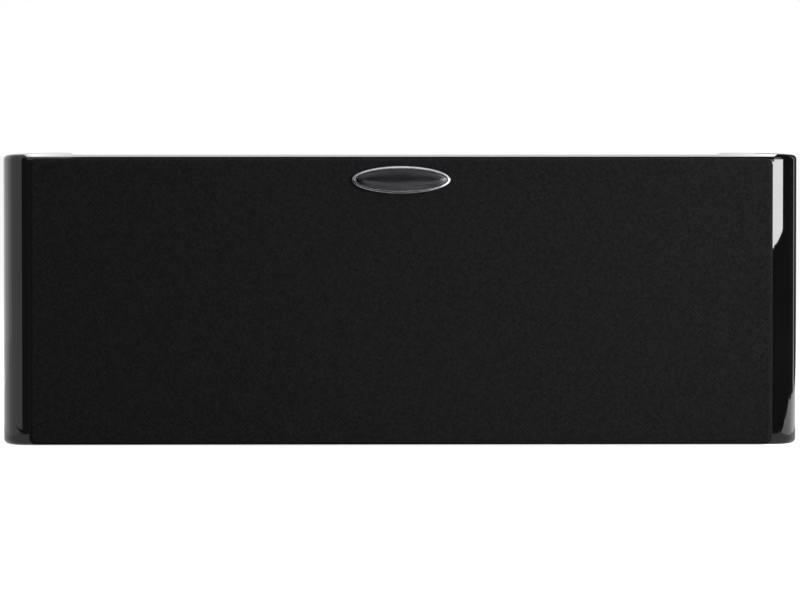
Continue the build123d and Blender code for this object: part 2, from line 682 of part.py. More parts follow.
def spider(x):
    """Corrugated cloth disc between the former and the chassis shelf."""
    seat = SHELF_DEPTH - GLUE_CLEARANCE
    inner = FORMER_RADIUS + 2 * GLUE_CLEARANCE
    outer = SHELF_RADIUS - 2 * GLUE_CLEARANCE
    flat_from = SHELF_RADIUS - SHELF_WIDTH
    half_wave = (flat_from - inner) / (2 * SPIDER_WAVES)
    back = corrugation(inner, half_wave, seat)
    front = corrugation(inner, half_wave, seat - SPIDER_SHEET)
    rim = Polyline(
        (flat_from, seat), (outer, seat), (outer, seat - SPIDER_SHEET), (flat_from, seat - SPIDER_SHEET)
    )
    bore = Line((inner, seat - SPIDER_SHEET), (inner, seat))
    return turned(back + [rim] + front + [bore], x, MIDDLE_Z)


def corrugation(start, half_wave, level):
    """Arcs that wave forwards and backwards about a level."""
    arcs = []
    for step in range(2 * SPIDER_WAVES):
        left = start + step * half_wave
        rise = SPIDER_RISE if step % 2 else -SPIDER_RISE
        middle = (left + half_wave / 2, level + rise)
        arcs.append(ThreePointArc((left, level), middle, (left + half_wave, level)))
    return arcs


def motor(x):
    """Top plate, ferrite ring and back plate with its vented pole, in that order."""
    front = CHASSIS_DEPTH
    magnet_from = front + TOP_PLATE_THICKNESS
    magnet_to = magnet_from + MAGNET_THICKNESS
    rear = magnet_to + BACK_PLATE_THICKNESS
    pole = FORMER_RADIUS - FORMER_WALL - GAP_CLEARANCE
    top_plate = ring(TOP_PLATE_RADIUS, coil_outer_radius() + GAP_CLEARANCE, front, magnet_from, x, MIDDLE_Z)
    magnet = ring(MAGNET_RADIUS, MAGNET_BORE_RADIUS, magnet_from, magnet_to, x, MIDDLE_Z)
    points = [
        (VENT_RADIUS, front),
        (pole, front),
        (pole, magnet_to),
        (TOP_PLATE_RADIUS, magnet_to),
        (TOP_PLATE_RADIUS, rear),
        (VENT_RADIUS, rear),
    ]
    return top_plate, magnet, turned_ring(points, x, MIDDLE_Z)


def woofer_tag(side):
    """Solder strip on the back of the chassis shelf, on the side towards the crossover."""
    root = SHELF_RADIUS - SHELF_WIDTH + BASKET_WALL
    depth = SHELF_DEPTH + BASKET_WALL
    near = side * (WOOFER_X - root)
    far = side * (WOOFER_X - root - TAG_LENGTH)
    half = TAG_WIDTH / 2
    x_range = (min(near, far), max(near, far))
    return block(x_range, (depth, depth + TAG_THICKNESS), (MIDDLE_Z - half, MIDDLE_Z + half))


def tweeter_faceplate():
    """Round plate with a shallow horn round the dome and a skirt behind that carries the motor."""
    throat = DOME_ROLL_RADIUS + DOME_SHEET
    inside = SKIRT_RADIUS - SKIRT_WALL
    lip = FACEPLATE_THICKNESS - LANDING_DEPTH
    outline = [
        Line((FACEPLATE_RADIUS, 0), (HORN_RADIUS, 0)),
        bulged((HORN_RADIUS, 0), (throat, lip), HORN_SAG),
        Polyline(
            (throat, lip),
            (throat, FACEPLATE_THICKNESS),
            (inside, FACEPLATE_THICKNESS),
            (inside, TWEETER_TOP),
            (SKIRT_RADIUS, TWEETER_TOP),
            (SKIRT_RADIUS, FACEPLATE_THICKNESS),
            (FACEPLATE_RADIUS, FACEPLATE_THICKNESS),
            (FACEPLATE_RADIUS, 0),
        ),
    ]
    holes = around(0, MIDDLE_Z, TWEETER_SCREW_CIRCLE, SCREW_ANGLES)
    return turned(outline, 0, MIDDLE_Z) - screw_holes(holes, FACEPLATE_THICKNESS)


def tweeter_dome():
    """One formed cloth diaphragm: dome, half roll and glue flange."""
    seat = FACEPLATE_THICKNESS + GLUE_CLEARANCE
    back = seat + DOME_SHEET
    top = seat - DOME_RISE
    roll_middle = (DOME_RADIUS + DOME_ROLL_RADIUS) / 2
    inner_rim = DOME_RADIUS - DOME_SHEET
    roll_inner = DOME_RADIUS + DOME_SHEET
    outline = [
        Polyline(
            (DOME_ROLL_RADIUS, seat),
            (DOME_FLANGE_RADIUS, seat),
            (DOME_FLANGE_RADIUS, back),
            (DOME_ROLL_RADIUS - DOME_SHEET, back),
        ),
        ThreePointArc(
            (DOME_ROLL_RADIUS - DOME_SHEET, back),
            (roll_middle, seat - DOME_ROLL_RISE + DOME_SHEET),
            (roll_inner, back),
        ),
        Line((roll_inner, back), (inner_rim, back)),
        dome_arc(inner_rim, back, top + DOME_SHEET),
        Line((0, top + DOME_SHEET), (0, top)),
        dome_arc(DOME_RADIUS, seat, top),
        ThreePointArc((DOME_RADIUS, seat), (roll_middle, seat - DOME_ROLL_RISE), (DOME_ROLL_RADIUS, seat)),
    ]
    return turned(outline, 0, MIDDLE_Z)


def tweeter_motor():
    """Tweeter coil, top plate, magnet and back plate with its pole."""
    coil_from = FACEPLATE_THICKNESS + 2 * GLUE_CLEARANCE + DOME_SHEET
    coil_inner = DOME_RADIUS - DOME_SHEET
    coil_outer = coil_inner + DOME_COIL_WALL
    hole = coil_outer + TWEETER_GAP_CLEARANCE
    magnet_from = TWEETER_TOP + TWEETER_PLATE_THICKNESS
    magnet_to = magnet_from + TWEETER_MAGNET_THICKNESS
    pole = coil_inner - TWEETER_GAP_CLEARANCE
    coil = ring(coil_outer, coil_inner, coil_from, coil_from + DOME_COIL_LENGTH, 0, MIDDLE_Z)
    top_plate = ring(SKIRT_RADIUS, hole, TWEETER_TOP, magnet_from, 0, MIDDLE_Z)
    magnet = ring(TWEETER_MAGNET_RADIUS, TWEETER_MAGNET_BORE, magnet_from, magnet_to, 0, MIDDLE_Z)
    points = [
        (0, TWEETER_TOP),
        (pole, TWEETER_TOP),
        (pole, magnet_to),
        (SKIRT_RADIUS, magnet_to),
        (SKIRT_RADIUS, TWEETER_REAR),
        (0, TWEETER_REAR),
    ]
    return coil, top_plate, magnet, turned_ring(points, 0, MIDDLE_Z)


def tweeter_tag():
    """Solder strip on the tweeter's back plate."""
    half = TAG_WIDTH / 2
    z = MIDDLE_Z + TWEETER_TAG_DROP
    return block((-half, half), (TWEETER_REAR, TWEETER_REAR + TAG_THICKNESS), (z - half, z + half))


def port_tube():
    """Moulded port: straight tube, flared mouth with an even wall and a flange on the rear panel."""
    mouth = PORT_MOUTH_RADIUS
    rim = mouth + PORT_RIM
    outside = PORT_RADIUS + PORT_WALL
    inner_end = CUP_FACE - PORT_LENGTH
    flare_from = CUP_FACE - PORT_FLARE_RADIUS
    outer_flare = JernArc((outside, flare_from), (0, 1), PORT_FLARE_RADIUS - PORT_WALL, -90)
    outline = [
        Line((PORT_RADIUS, inner_end), (PORT_RADIUS, flare_from)),
        JernArc((PORT_RADIUS, flare_from), (0, 1), PORT_FLARE_RADIUS, -90),
        Polyline(
            (mouth, CUP_FACE),
            (rim - PORT_EDGE, CUP_FACE),
            (rim, CUP_FACE - PORT_EDGE),
            (rim, CABINET_DEPTH),
            (mouth, CABINET_DEPTH),
            outer_flare @ 1,
        ),
        outer_flare,
        Polyline((outside, flare_from), (outside, inner_end), (PORT_RADIUS, inner_end)),
    ]
    return turned(outline, PORT_X, MIDDLE_Z)


def post_places():
    """The two binding posts, red first, as x."""
    return CUP_X + POST_SPACING / 2, CUP_X - POST_SPACING / 2


def terminal_cup():
    """Moulded cup: plate on the rear panel and a tub that takes the binding posts."""
    plate = RectangleRounded(CUP_PLATE_WIDTH, CUP_PLATE_HEIGHT, CUP_PLATE_RADIUS)
    outer = RectangleRounded(TUB_WIDTH + 2 * TUB_WALL, TUB_HEIGHT + 2 * TUB_WALL, TUB_RADIUS + TUB_WALL)
    inner = RectangleRounded(TUB_WIDTH, TUB_HEIGHT, TUB_RADIUS)
    cup = prism(plate, CUP_X, MIDDLE_Z, CABINET_DEPTH, CUP_FACE)
    cup += prism(outer, CUP_X, MIDDLE_Z, TUB_BACK, CABINET_DEPTH)
    cup -= prism(inner, CUP_X, MIDDLE_Z, TUB_FLOOR_DEPTH, CUP_FACE)
    holes = [rod(POST_RADIUS + SEAT_CLEARANCE, x, MIDDLE_Z, TUB_BACK, TUB_FLOOR_DEPTH) for x in post_places()]
    for x, z in cup_screw_places():
        holes.append(rod(SCREW_RADIUS + SCREW_CLEARANCE, x, z, CABINET_DEPTH, CUP_FACE))
        holes.append(rod(SCREW_HEAD_RADIUS + HEAD_CLEARANCE, x, z, CUP_FACE - SCREW_HEAD_DEPTH, CUP_FACE))
    return cup - holes


def binding_post(x):
    """Post with a collar on the tub's floor, a wire hole, a plug socket in its end and a tail inside."""
    face = TUB_FLOOR_DEPTH + POST_COLLAR_HEIGHT
    end = face + POST_LENGTH
    post = rod(POST_RADIUS, x, MIDDLE_Z, TUB_BACK - POST_TAIL, end)
    post += rod(POST_COLLAR_RADIUS, x, MIDDLE_Z, TUB_FLOOR_DEPTH, face)
    post -= rod(SOCKET_RADIUS, x, MIDDLE_Z, end - SOCKET_DEPTH, end)
    through = 2 * POST_COLLAR_RADIUS
    hole = Pos(x, FRONT_Y + face + WIRE_HOLE_HEIGHT, MIDDLE_Z) * Cylinder(WIRE_HOLE_RADIUS, through)
    return post - hole


def clamp_washer(x):
    """Loose washer that the knob presses on the wire."""
    face = TUB_FLOOR_DEPTH + POST_COLLAR_HEIGHT
    return ring(CLAMP_RADIUS, POST_RADIUS + SLIDE_CLEARANCE, face, face + CLAMP_THICKNESS, x, MIDDLE_Z)


def post_knob(x):
    """Screw knob with grip flutes and an open end for a plug."""
    start = TUB_FLOOR_DEPTH + POST_COLLAR_HEIGHT + CLAMP_THICKNESS
    end = start + KNOB_LENGTH
    knob = rod(KNOB_RADIUS, x, MIDDLE_Z, start, end)
    knob = chamfer(knob.faces().sort_by(Axis.Y)[-1].edges(), KNOB_EDGE)
    angles = [360.0 / KNOB_GRIPS * turn for turn in range(KNOB_GRIPS)]
    flutes = around(x, MIDDLE_Z, 2 * KNOB_RADIUS, angles)
    knob -= [rod(KNOB_GRIP_RADIUS, px, pz, start + KNOB_EDGE, end) for px, pz in flutes]
    return knob - rod(POST_RADIUS + SLIDE_CLEARANCE, x, MIDDLE_Z, start, end)


def post_nuts():
    """Nuts either side of the crossover board on each post."""
    nuts = []
    hexagon = RegularPolygon(NUT_ACROSS_FLATS / 2, 6, major_radius=False)
    for x in post_places():
        for back in (TUB_BACK, BOARD_FRONT):
            nut = prism(hexagon, x, MIDDLE_Z, back - NUT_HEIGHT, back)
            nuts.append(nut - rod(POST_RADIUS + SEAT_CLEARANCE, x, MIDDLE_Z, back - NUT_HEIGHT, back))
    return group(nuts)


def crossover_board():
    """Circuit board clamped between the post nuts."""
    sketch = RectangleRounded(BOARD_WIDTH, BOARD_HEIGHT, BOARD_CORNER_RADIUS)
    board = prism(sketch, CUP_X, MIDDLE_Z, BOARD_FRONT, BOARD_BACK)
    return board - [
        rod(POST_RADIUS + SEAT_CLEARANCE, x, MIDDLE_Z, BOARD_FRONT, BOARD_BACK) for x in post_places()
    ]


def inductor(radius, bore, height, x, z):
    """Wound bobbin standing on the board, with a cheek at each end."""
    base = BOARD_FRONT
    cheek = radius + CHEEK_OVERHANG
    points = [
        (bore, base),
        (cheek, base),
        (cheek, base - CHEEK_THICKNESS),
        (radius, base - CHEEK_THICKNESS),
        (radius, base - height + CHEEK_THICKNESS),
        (cheek, base - height + CHEEK_THICKNESS),
        (cheek, base - height),
        (bore, base - height),
    ]
    return turned_ring(points, x, z)


def capacitors():
    """Film capacitors lying side by side along the board's lower edge."""
    made = []
    z = MIDDLE_Z - BOARD_HEIGHT / 2
    x = CUP_X - BOARD_WIDTH / 2
    for radius, length in zip(CAPACITOR_RADII, CAPACITOR_LENGTHS):
        x += CAPACITOR_GAP
        depth = BOARD_FRONT - radius - SEAT_CLEARANCE
        middle = (x + length / 2, FRONT_Y + depth, z + CAPACITOR_GAP + CAPACITOR_RADII[0])
        made.append(Pos(*middle) * Rot(0, 90, 0) * Cylinder(radius, length))
        x += length
    return group(made)


def resistor():
    """Cement power resistor on the upper edge of the board."""
    top = MIDDLE_Z + BOARD_HEIGHT / 2 - CAPACITOR_GAP
    half = RESISTOR_LENGTH / 2
    depths = (BOARD_FRONT - RESISTOR_HEIGHT, BOARD_FRONT)
    return block((CUP_X - half, CUP_X + half), depths, (top - RESISTOR_WIDTH, top))


def lead(points):
    """Twin lead along a route of (x, depth, z), with each bend as wide as its runs allow."""
    route = [Vector(x, FRONT_Y + depth, z) for x, depth, z in points]
    runs = [b - a for a, b in zip(route, route[1:])]
    radii = []
    for before, after in zip(runs, runs[1:]):
        turn = radians(before.get_angle(after))
        radii.append(LEAD_BEND_SHARE * min(before.length, after.length) / tan(turn / 2))
    path = FilletPolyline(*route, radius=radii)
    section = Plane(origin=path @ 0, z_dir=path % 0) * Circle(LEAD_RADIUS)
    return sweep(section, path=path)


# Routes of the inside leads, from the crossover board to each solder strip
TAG_BACK = SHELF_DEPTH + BASKET_WALL + TAG_THICKNESS + SEAT_CLEARANCE
TAG_X = WOOFER_X - SHELF_RADIUS + SHELF_WIDTH - BASKET_WALL - TAG_LEAD_SHARE * TAG_LENGTH
TWEETER_TAG_BACK = TWEETER_REAR + TAG_THICKNESS + SEAT_CLEARANCE
TWEETER_TAG_Z = MIDDLE_Z + TWEETER_TAG_DROP
BOARD_SIDE = BOARD_FRONT - SEAT_CLEARANCE
BOARD_LEFT = CUP_X - BOARD_WIDTH / 2 + LEAD_BOARD_INSET
BOARD_RIGHT = CUP_X + BOARD_WIDTH / 2 - LEAD_BOARD_INSET
WOOFER_LEAD_Z = MIDDLE_Z - WOOFER_LEAD_DROP
TWEETER_LEAD_Z = MIDDLE_Z + TWEETER_LEAD_RISE
PASS_DEPTH = BRACE_MIDDLE - BRACE_COLUMN_PITCH / 2
RIGHT_LEAD = [
    (BOARD_RIGHT, BOARD_SIDE, WOOFER_LEAD_Z),
    (BOARD_RIGHT, BOARD_SIDE - LEAD_RUN_OUT, WOOFER_LEAD_Z),
    (TAG_X, TAG_BACK + LEAD_RUN_OUT, MIDDLE_Z),
    (TAG_X, TAG_BACK, MIDDLE_Z),
]
LEFT_LEAD = [
    (BOARD_LEFT, BOARD_SIDE, WOOFER_LEAD_Z),
    (BOARD_LEFT, BOARD_SIDE - LEAD_RUN_OUT, WOOFER_LEAD_Z),
    (BRACE_PASS, PASS_DEPTH + BRACE_PASS, MIDDLE_Z),
    (-BRACE_PASS, PASS_DEPTH - BRACE_PASS / 2, MIDDLE_Z),
    (-TAG_X, TAG_BACK + LEAD_RUN_OUT, MIDDLE_Z),
    (-TAG_X, TAG_BACK, MIDDLE_Z),
]
TWEETER_LEAD = [
    (BOARD_LEFT, BOARD_SIDE, TWEETER_LEAD_Z),
    (BOARD_LEFT, BOARD_SIDE - LEAD_RUN_OUT, TWEETER_LEAD_Z),
    (BRACE_PASS, BRACE_FRONT_DEPTH, TWEETER_TAG_Z),
    (0, TWEETER_TAG_BACK + LEAD_RUN_OUT, TWEETER_TAG_Z),
    (0, TWEETER_TAG_BACK, TWEETER_TAG_Z),
]


def main():
    os.makedirs("parts", exist_ok=True)
    (left_side, right_side), core = cabinet()
    top = HEIGHT - PANEL_THICKNESS
    save("left_side_panel", left_side)
    save("right_side_panel", right_side)
    save("top_panel", core & block((-WIDTH, WIDTH), (0, CABINET_DEPTH), (top, CORE_HEIGHT)))
    save("bottom_panel", core & block((-WIDTH, WIDTH), (0, CABINET_DEPTH), (0, PANEL_THICKNESS)))
    save("front_baffle", front_baffle(core))
    save("rear_panel", rear_panel(core))
    save("centre_brace", centre_brace())
    save("grille_frame", grille_frame())
    save("grille_cloth", grille_cloth())
    save("grille_cups", grille_cups())
    save("badge", badge())

    woofer_screws = []
    for name, side in (("left", -1), ("right", 1)):
        x = side * WOOFER_X
        save(f"{name}_damping_pad", damping_pad(side))
        save(f"{name}_basket", basket(x))
        save(f"{name}_cone", cone(x))
        save(f"{name}_surround", surround(x))
        save(f"{name}_dust_cap", dust_cap(x))
        save(f"{name}_voice_coil", voice_coil(x))
        save(f"{name}_spider", spider(x))
        for piece, solid in zip(("top_plate", "magnet", "back_plate"), motor(x)):
            save(f"{name}_{piece}", solid)
        save(f"{name}_woofer_tag", woofer_tag(side))
        woofer_screws += around(x, MIDDLE_Z, WOOFER_SCREW_CIRCLE, SCREW_ANGLES)
    save("woofer_screws", screws(woofer_screws))

    save("tweeter_faceplate", tweeter_faceplate())
    save("tweeter_dome", tweeter_dome())
    names = ("tweeter_voice_coil", "tweeter_top_plate", "tweeter_magnet", "tweeter_back_plate")
    for name, solid in zip(names, tweeter_motor()):
        save(name, solid)
    save("tweeter_tag", tweeter_tag())
    save("tweeter_screws", screws(around(0, MIDDLE_Z, TWEETER_SCREW_CIRCLE, SCREW_ANGLES)))

    save("port_tube", port_tube())
    save("terminal_cup", terminal_cup())
    save("terminal_cup_screws", screws(cup_screw_places(), CUP_FACE, -1))
    for name, x in zip(("red", "black"), post_places()):
        save(f"{name}_post", binding_post(x))
        save(f"{name}_clamp_washer", clamp_washer(x))
        save(f"{name}_knob", post_knob(x))
    save("post_nuts", post_nuts())
    save("crossover_board", crossover_board())
    woofer_coil = (WOOFER_COIL_RADIUS, WOOFER_COIL_BORE, WOOFER_COIL_HEIGHT)
    tweeter_coil = (TWEETER_COIL_RADIUS, TWEETER_COIL_BORE, TWEETER_COIL_HEIGHT)
    save("woofer_inductor", inductor(*woofer_coil, CUP_X + WOOFER_COIL_OFFSET, MIDDLE_Z + COIL_LIFT))
    save("tweeter_inductor", inductor(*tweeter_coil, CUP_X - TWEETER_COIL_OFFSET, MIDDLE_Z + COIL_LIFT))
    save("crossover_capacitors", capacitors())
    save("crossover_resistor", resistor())
    save("left_woofer_lead", lead(LEFT_LEAD))
    save("right_woofer_lead", lead(RIGHT_LEAD))
    save("tweeter_lead", lead(TWEETER_LEAD))


main()
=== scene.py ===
"""Looks of the center channel loudspeaker: lacquer, stretched grille cloth, badge plate, drivers, terminals.

Metres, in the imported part's frame: +Z is up and the front faces -Y. Lengths written with MM are millimetres.
"""
from math import cos, exp, hypot, pi, radians, sin

import bmesh
import bpy
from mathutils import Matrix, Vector, noise

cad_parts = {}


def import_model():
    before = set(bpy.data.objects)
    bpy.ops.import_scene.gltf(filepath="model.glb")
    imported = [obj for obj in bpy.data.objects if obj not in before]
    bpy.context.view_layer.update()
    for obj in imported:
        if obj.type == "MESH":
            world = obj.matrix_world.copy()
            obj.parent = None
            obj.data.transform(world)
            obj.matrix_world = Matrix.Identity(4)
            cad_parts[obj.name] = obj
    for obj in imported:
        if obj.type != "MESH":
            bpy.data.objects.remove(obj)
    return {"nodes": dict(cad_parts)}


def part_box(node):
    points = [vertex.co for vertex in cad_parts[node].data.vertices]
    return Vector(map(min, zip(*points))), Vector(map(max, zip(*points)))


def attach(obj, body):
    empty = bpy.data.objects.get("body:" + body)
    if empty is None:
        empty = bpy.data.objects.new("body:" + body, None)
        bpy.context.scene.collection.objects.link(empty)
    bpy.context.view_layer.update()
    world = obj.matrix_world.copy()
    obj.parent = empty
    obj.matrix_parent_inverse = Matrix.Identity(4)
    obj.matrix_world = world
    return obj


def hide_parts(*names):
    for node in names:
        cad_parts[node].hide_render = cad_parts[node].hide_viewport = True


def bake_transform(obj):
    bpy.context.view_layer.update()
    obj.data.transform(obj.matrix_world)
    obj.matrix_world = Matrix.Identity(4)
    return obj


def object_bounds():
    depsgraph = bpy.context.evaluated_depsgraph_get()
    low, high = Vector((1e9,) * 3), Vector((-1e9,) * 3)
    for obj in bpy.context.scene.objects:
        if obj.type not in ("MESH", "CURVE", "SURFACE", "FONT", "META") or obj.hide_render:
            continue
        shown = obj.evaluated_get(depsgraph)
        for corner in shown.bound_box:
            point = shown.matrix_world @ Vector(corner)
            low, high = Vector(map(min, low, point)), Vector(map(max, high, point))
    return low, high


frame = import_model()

MM = 0.001
NODES = frame["nodes"]
SIDES = ("left", "right")
POSTS = ("red", "black")
CAD_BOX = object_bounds()

# Grille cloth
CLOTH_CORNER_RADIUS = 4.5 * MM
CLOTH_ROLL_RADIUS = 3.0 * MM
CLOTH_THICKNESS = 0.6 * MM
CLOTH_CORNER_STEPS = 10
CLOTH_ROLL_STEPS = 8

# Badge plate
BADGE_RIM = 1.7 * MM
BADGE_BEVEL = 0.45 * MM
BADGE_BEVEL_CURVE = 1.5
BADGE_LIP = 0.25 * MM
BADGE_RIM_STEPS = 8
BADGE_FIELD_DEPTH = 0.7 * MM
BADGE_CROWN = 0.58 * MM
BADGE_STEPS = 128
BADGE_FIELD_RINGS = 10

# Wadding: its shares are of the pad's thickness
PAD_GRID = 28
PAD_LUMP = 9 * MM
PAD_LUMP_SHARE = 0.12
PAD_EDGE_SHARE = 0.35
PAD_CROWN_SHARE = 0.5
PAD_SIDE_PULL = 0.05

# Wire on the crossover coils
WIRE_RADIUS = 0.45 * MM
CHEEK_THICKNESS = 1.5 * MM
CHEEK_OVERHANG = 1.5 * MM
TURN_STEPS = 32
WIRE_STEPS = 8

# What one blotch of a noise and one band of a wave texture measure at scale 1, in metres
NOISE_BLOTCH = 0.5
WAVE_BAND = pi / 10

# Studio: light levels, where 1 is white, and the places that cards stand round
FILL_LEVEL = 0.1
FLOOR_GLOW = 0.85
FLOOR_REACH = 30.0
MAT_LAYER = 0.1 * MM
RIGHT_CORNER = (0.241, -0.093)
LEFT_CORNER = (-0.241, -0.093)
BADGE_END = (0.031, -0.11)
LAMP_TARGET = (0, -0.1, 0.1)
CARD_LEVELS = {
    "black_velvet": 0.045,
    "grey_felt": 0.12,
    "grey_paper": 0.6,
    # Level of the mats that paint the speaker's shadow on the floor beside its ends
    "shadow_grey_paper": 0.75,
    "white_paper": 1.0,
    "left_light": 1.25,
    "back_light": 1.5,
    "top_light": 3.0,
    "badge_spot": 7.0,
    "strip_light": 16.0,
}

# Camera: the speaker is SPEAKER_PIXELS wide in the image where it is widest, a little behind its front
CAMERA_DISTANCE = 3.0
CAMERA_HEIGHT = 0.2
CAMERA_SIDE = -0.05
AIM_SIDE = -0.8 * MM
AIM_HEIGHT = 92 * MM
IMAGE_WIDTH = 800
SENSOR_WIDTH = 36.0
SPEAKER_PIXELS = 793.3
WIDEST_DEPTH = 35 * MM


def linear(code):
    """An sRGB hex colour as linear red, green, blue and alpha."""
    channels = [int(code[i : i + 2], 16) / 255 for i in (1, 3, 5)]
    return [c / 12.92 if c <= 0.04045 else ((c + 0.055) / 1.055) ** 2.4 for c in channels] + [1.0]


def add(tree, kind, inputs=None, **settings):
    """Adds a node. An input takes a plain value, or an output socket that it is linked to."""
    made = tree.nodes.new(kind)
    for name, value in settings.items():
        setattr(made, name, value)
    for name, value in (inputs or {}).items():
        if isinstance(value, bpy.types.NodeSocket):
            tree.links.new(value, made.inputs[name])
        else:
            made.inputs[name].default_value = value
    return made


def new_material(name, sockets):
    """A material with one shader, and the place on the piece that its patterns are drawn from."""
    material = bpy.data.materials.new(name)
    material.use_nodes = True
    tree = material.node_tree
    tree.nodes.clear()
    shader = add(tree, "ShaderNodeBsdfPrincipled", sockets)
    add(tree, "ShaderNodeOutputMaterial", {"Surface": shader.outputs["BSDF"]})
    place = add(tree, "ShaderNodeTexCoord").outputs["Object"]
    return material, tree, shader, place


def two_tones(tree, shader, amount, dark, light, low=0.3, high=0.7):
    """Colours the shader between two tones by a pattern's amount."""
    ramp = add(tree, "ShaderNodeValToRGB", {"Fac": amount})
    first, last = ramp.color_ramp.elements
    first.position, last.position = low, high
    first.color, last.color = linear(dark), linear(light)
    tree.links.new(ramp.outputs["Color"], shader.inputs["Base Color"])


def vary_roughness(tree, shader, amount, low, high):
    """Spreads the shader's roughness over a range by a pattern's amount."""
    span = add(tree, "ShaderNodeMapRange", {"Value": amount, "To Min": low, "To Max": high})
    tree.links.new(span.outputs["Result"], shader.inputs["Roughness"])


def raise_surface(tree, shader, amount, height):
    """Raises the surface by a pattern's amount, up to a height in metres."""
    bump = add(tree, "ShaderNodeBump", {"Height": amount, "Distance": height, "Strength": 1.0})
    tree.links.new(bump.outputs["Normal"], shader.inputs["Normal"])


def speckle(tree, place, size, detail=2.0):
    """A noise whose blotches are about a size across, in metres."""
    settings = {"Vector": place, "Scale": NOISE_BLOTCH / size, "Detail": detail}
    return add(tree, "ShaderNodeTexNoise", settings).outputs["Fac"]


def gloss_lacquer():
    # Black polyester lacquer, sprayed and buffed: a deep black that mirrors the room, with faint polish haze
    material, tree, shader, place = new_material("polyester_lacquer_buffed_black", {"IOR": 1.52})
    haze = speckle(tree, place, 18 * MM, 4)
    two_tones(tree, shader, haze, "#040405", "#070708")
    vary_roughness(tree, shader, haze, 0.025, 0.06)
    raise_surface(tree, shader, speckle(tree, place, 3 * MM), 0.004 * MM)
    return material


def satin_board():
    # Fibreboard rolled with satin black paint: an even, slightly pebbled black with a soft sheen
    material, tree, shader, place = new_material("fibreboard_satin_painted", {"IOR": 1.48})
    pebble = speckle(tree, place, 0.7 * MM, 3)
    two_tones(tree, shader, speckle(tree, place, 25 * MM, 4), "#111112", "#19191a")
    vary_roughness(tree, shader, pebble, 0.42, 0.6)
    raise_surface(tree, shader, pebble, 0.05 * MM)
    return material


def raw_board():
    # Medium-density fibreboard as sawn: matted brown fibres, dull
    material, tree, shader, place = new_material("fibreboard_sawn", {"Roughness": 0.9})
    fibres = speckle(tree, place, 1.2 * MM, 6)
    two_tones(tree, shader, fibres, "#7a5a3a", "#a98a63")
    raise_surface(tree, shader, fibres, 0.15 * MM)
    return material


def wadding():
    # Polyester wadding, carded and bonded: crossing white fibres with soft shadowed hollows
    material, tree, shader, place = new_material(
        "polyester_wadding_carded", {"Roughness": 0.95, "Sheen Weight": 0.4}
    )
    stretch = add(tree, "ShaderNodeMapping", {"Vector": place, "Scale": (1.0, 1.0, 0.2)}).outputs["Vector"]
    fibres = speckle(tree, stretch, 1.0 * MM, 8)
    two_tones(tree, shader, fibres, "#a9a69d", "#e6e4dc")
    raise_surface(tree, shader, fibres, 0.6 * MM)
    return material


def moulded_black():
    # Black ABS from a spark-eroded mould: fine even grain that breaks up the highlight
    material, tree, shader, place = new_material("abs_moulded_grained_black", {"IOR": 1.53})
    grain = speckle(tree, place, 0.5 * MM, 3)
    two_tones(tree, shader, speckle(tree, place, 12 * MM, 3), "#131314", "#1b1b1c")
    vary_roughness(tree, shader, grain, 0.4, 0.58)
    raise_surface(tree, shader, grain, 0.04 * MM)
    return material


def grille_cloth():
    # Black polyester grille cloth, plain woven and stretched: over-and-under threads with a dry sheen.
    # The real threads are about 0.4 mm apart. They are drawn 1.3 mm apart so that the weave shows.
    thread = 1.3 * MM
    material, tree, shader, place = new_material(
        "polyester_cloth_woven_black",
        {"Roughness": 0.85, "Specular IOR Level": 0.01, "Sheen Weight": 0.02, "Sheen Roughness": 0.5},
    )
    flat = add(tree, "ShaderNodeUVMap", uv_map="cloth").outputs["UV"]
    waves = (pi / thread, pi / thread, 0)
    turns = add(tree, "ShaderNodeVectorMath", {0: flat, 1: waves}, operation="MULTIPLY")
    axes = add(tree, "ShaderNodeSeparateXYZ", {"Vector": turns.outputs["Vector"]}).outputs
    across = add(tree, "ShaderNodeMath", {0: axes["X"]}, operation="SINE").outputs["Value"]
    along = add(tree, "ShaderNodeMath", {0: axes["Y"]}, operation="SINE").outputs["Value"]
    crossing = add(tree, "ShaderNodeMath", {0: across, 1: along}, operation="MULTIPLY").outputs["Value"]
    weave = add(
        tree, "ShaderNodeMapRange", {"Value": crossing, "From Min": -1.0, "From Max": 1.0, "To Min": 0.6}
    ).outputs["Result"]
    slub = speckle(tree, place, 0.9 * MM, 3)
    mixed = add(tree, "ShaderNodeMath", {0: weave, 1: slub}, operation="MULTIPLY").outputs["Value"]
    two_tones(tree, shader, mixed, "#090909", "#1c1c1d", 0.08, 0.62)
    raise_surface(tree, shader, mixed, 0.25 * MM)
    return material


def brushed_badge():
    # Dark anodised aluminium, brushed lengthways: fine horizontal lines that spread the light up and down
    material, tree, shader, place = new_material(
        "aluminium_brushed_dark", {"Metallic": 1.0, "Anisotropic": 0.5, "Anisotropic Rotation": 0.25}
    )
    lines = add(tree, "ShaderNodeMapping", {"Vector": place, "Scale": (0.03, 1.0, 1.0)}).outputs["Vector"]
    strokes = speckle(tree, lines, 0.25 * MM, 6)
    two_tones(tree, shader, strokes, "#29292b", "#454547")
    vary_roughness(tree, shader, strokes, 0.14, 0.24)
    raise_surface(tree, shader, strokes, 0.01 * MM)
    return material


def polished_rim():
    # Aluminium, diamond turned and polished: bright, with faint turning haze
    material, tree, shader, place = new_material("aluminium_polished", {"Metallic": 1.0})
    haze = speckle(tree, place, 2 * MM, 4)
    two_tones(tree, shader, haze, "#747477", "#8c8c8f")
    vary_roughness(tree, shader, haze, 0.16, 0.24)
    return material


def moulded_rubber():
    # Black butyl rubber, moulded: matt with a faint bloom
    material, tree, shader, place = new_material("butyl_rubber_moulded", {"IOR": 1.52, "Sheen Weight": 0.1})
    bloom = speckle(tree, place, 4 * MM, 5)
    two_tones(tree, shader, bloom, "#0e0e0e", "#1a1a1a")
    vary_roughness(tree, shader, bloom, 0.55, 0.75)
    raise_surface(tree, shader, speckle(tree, place, 0.4 * MM), 0.02 * MM)
    return material


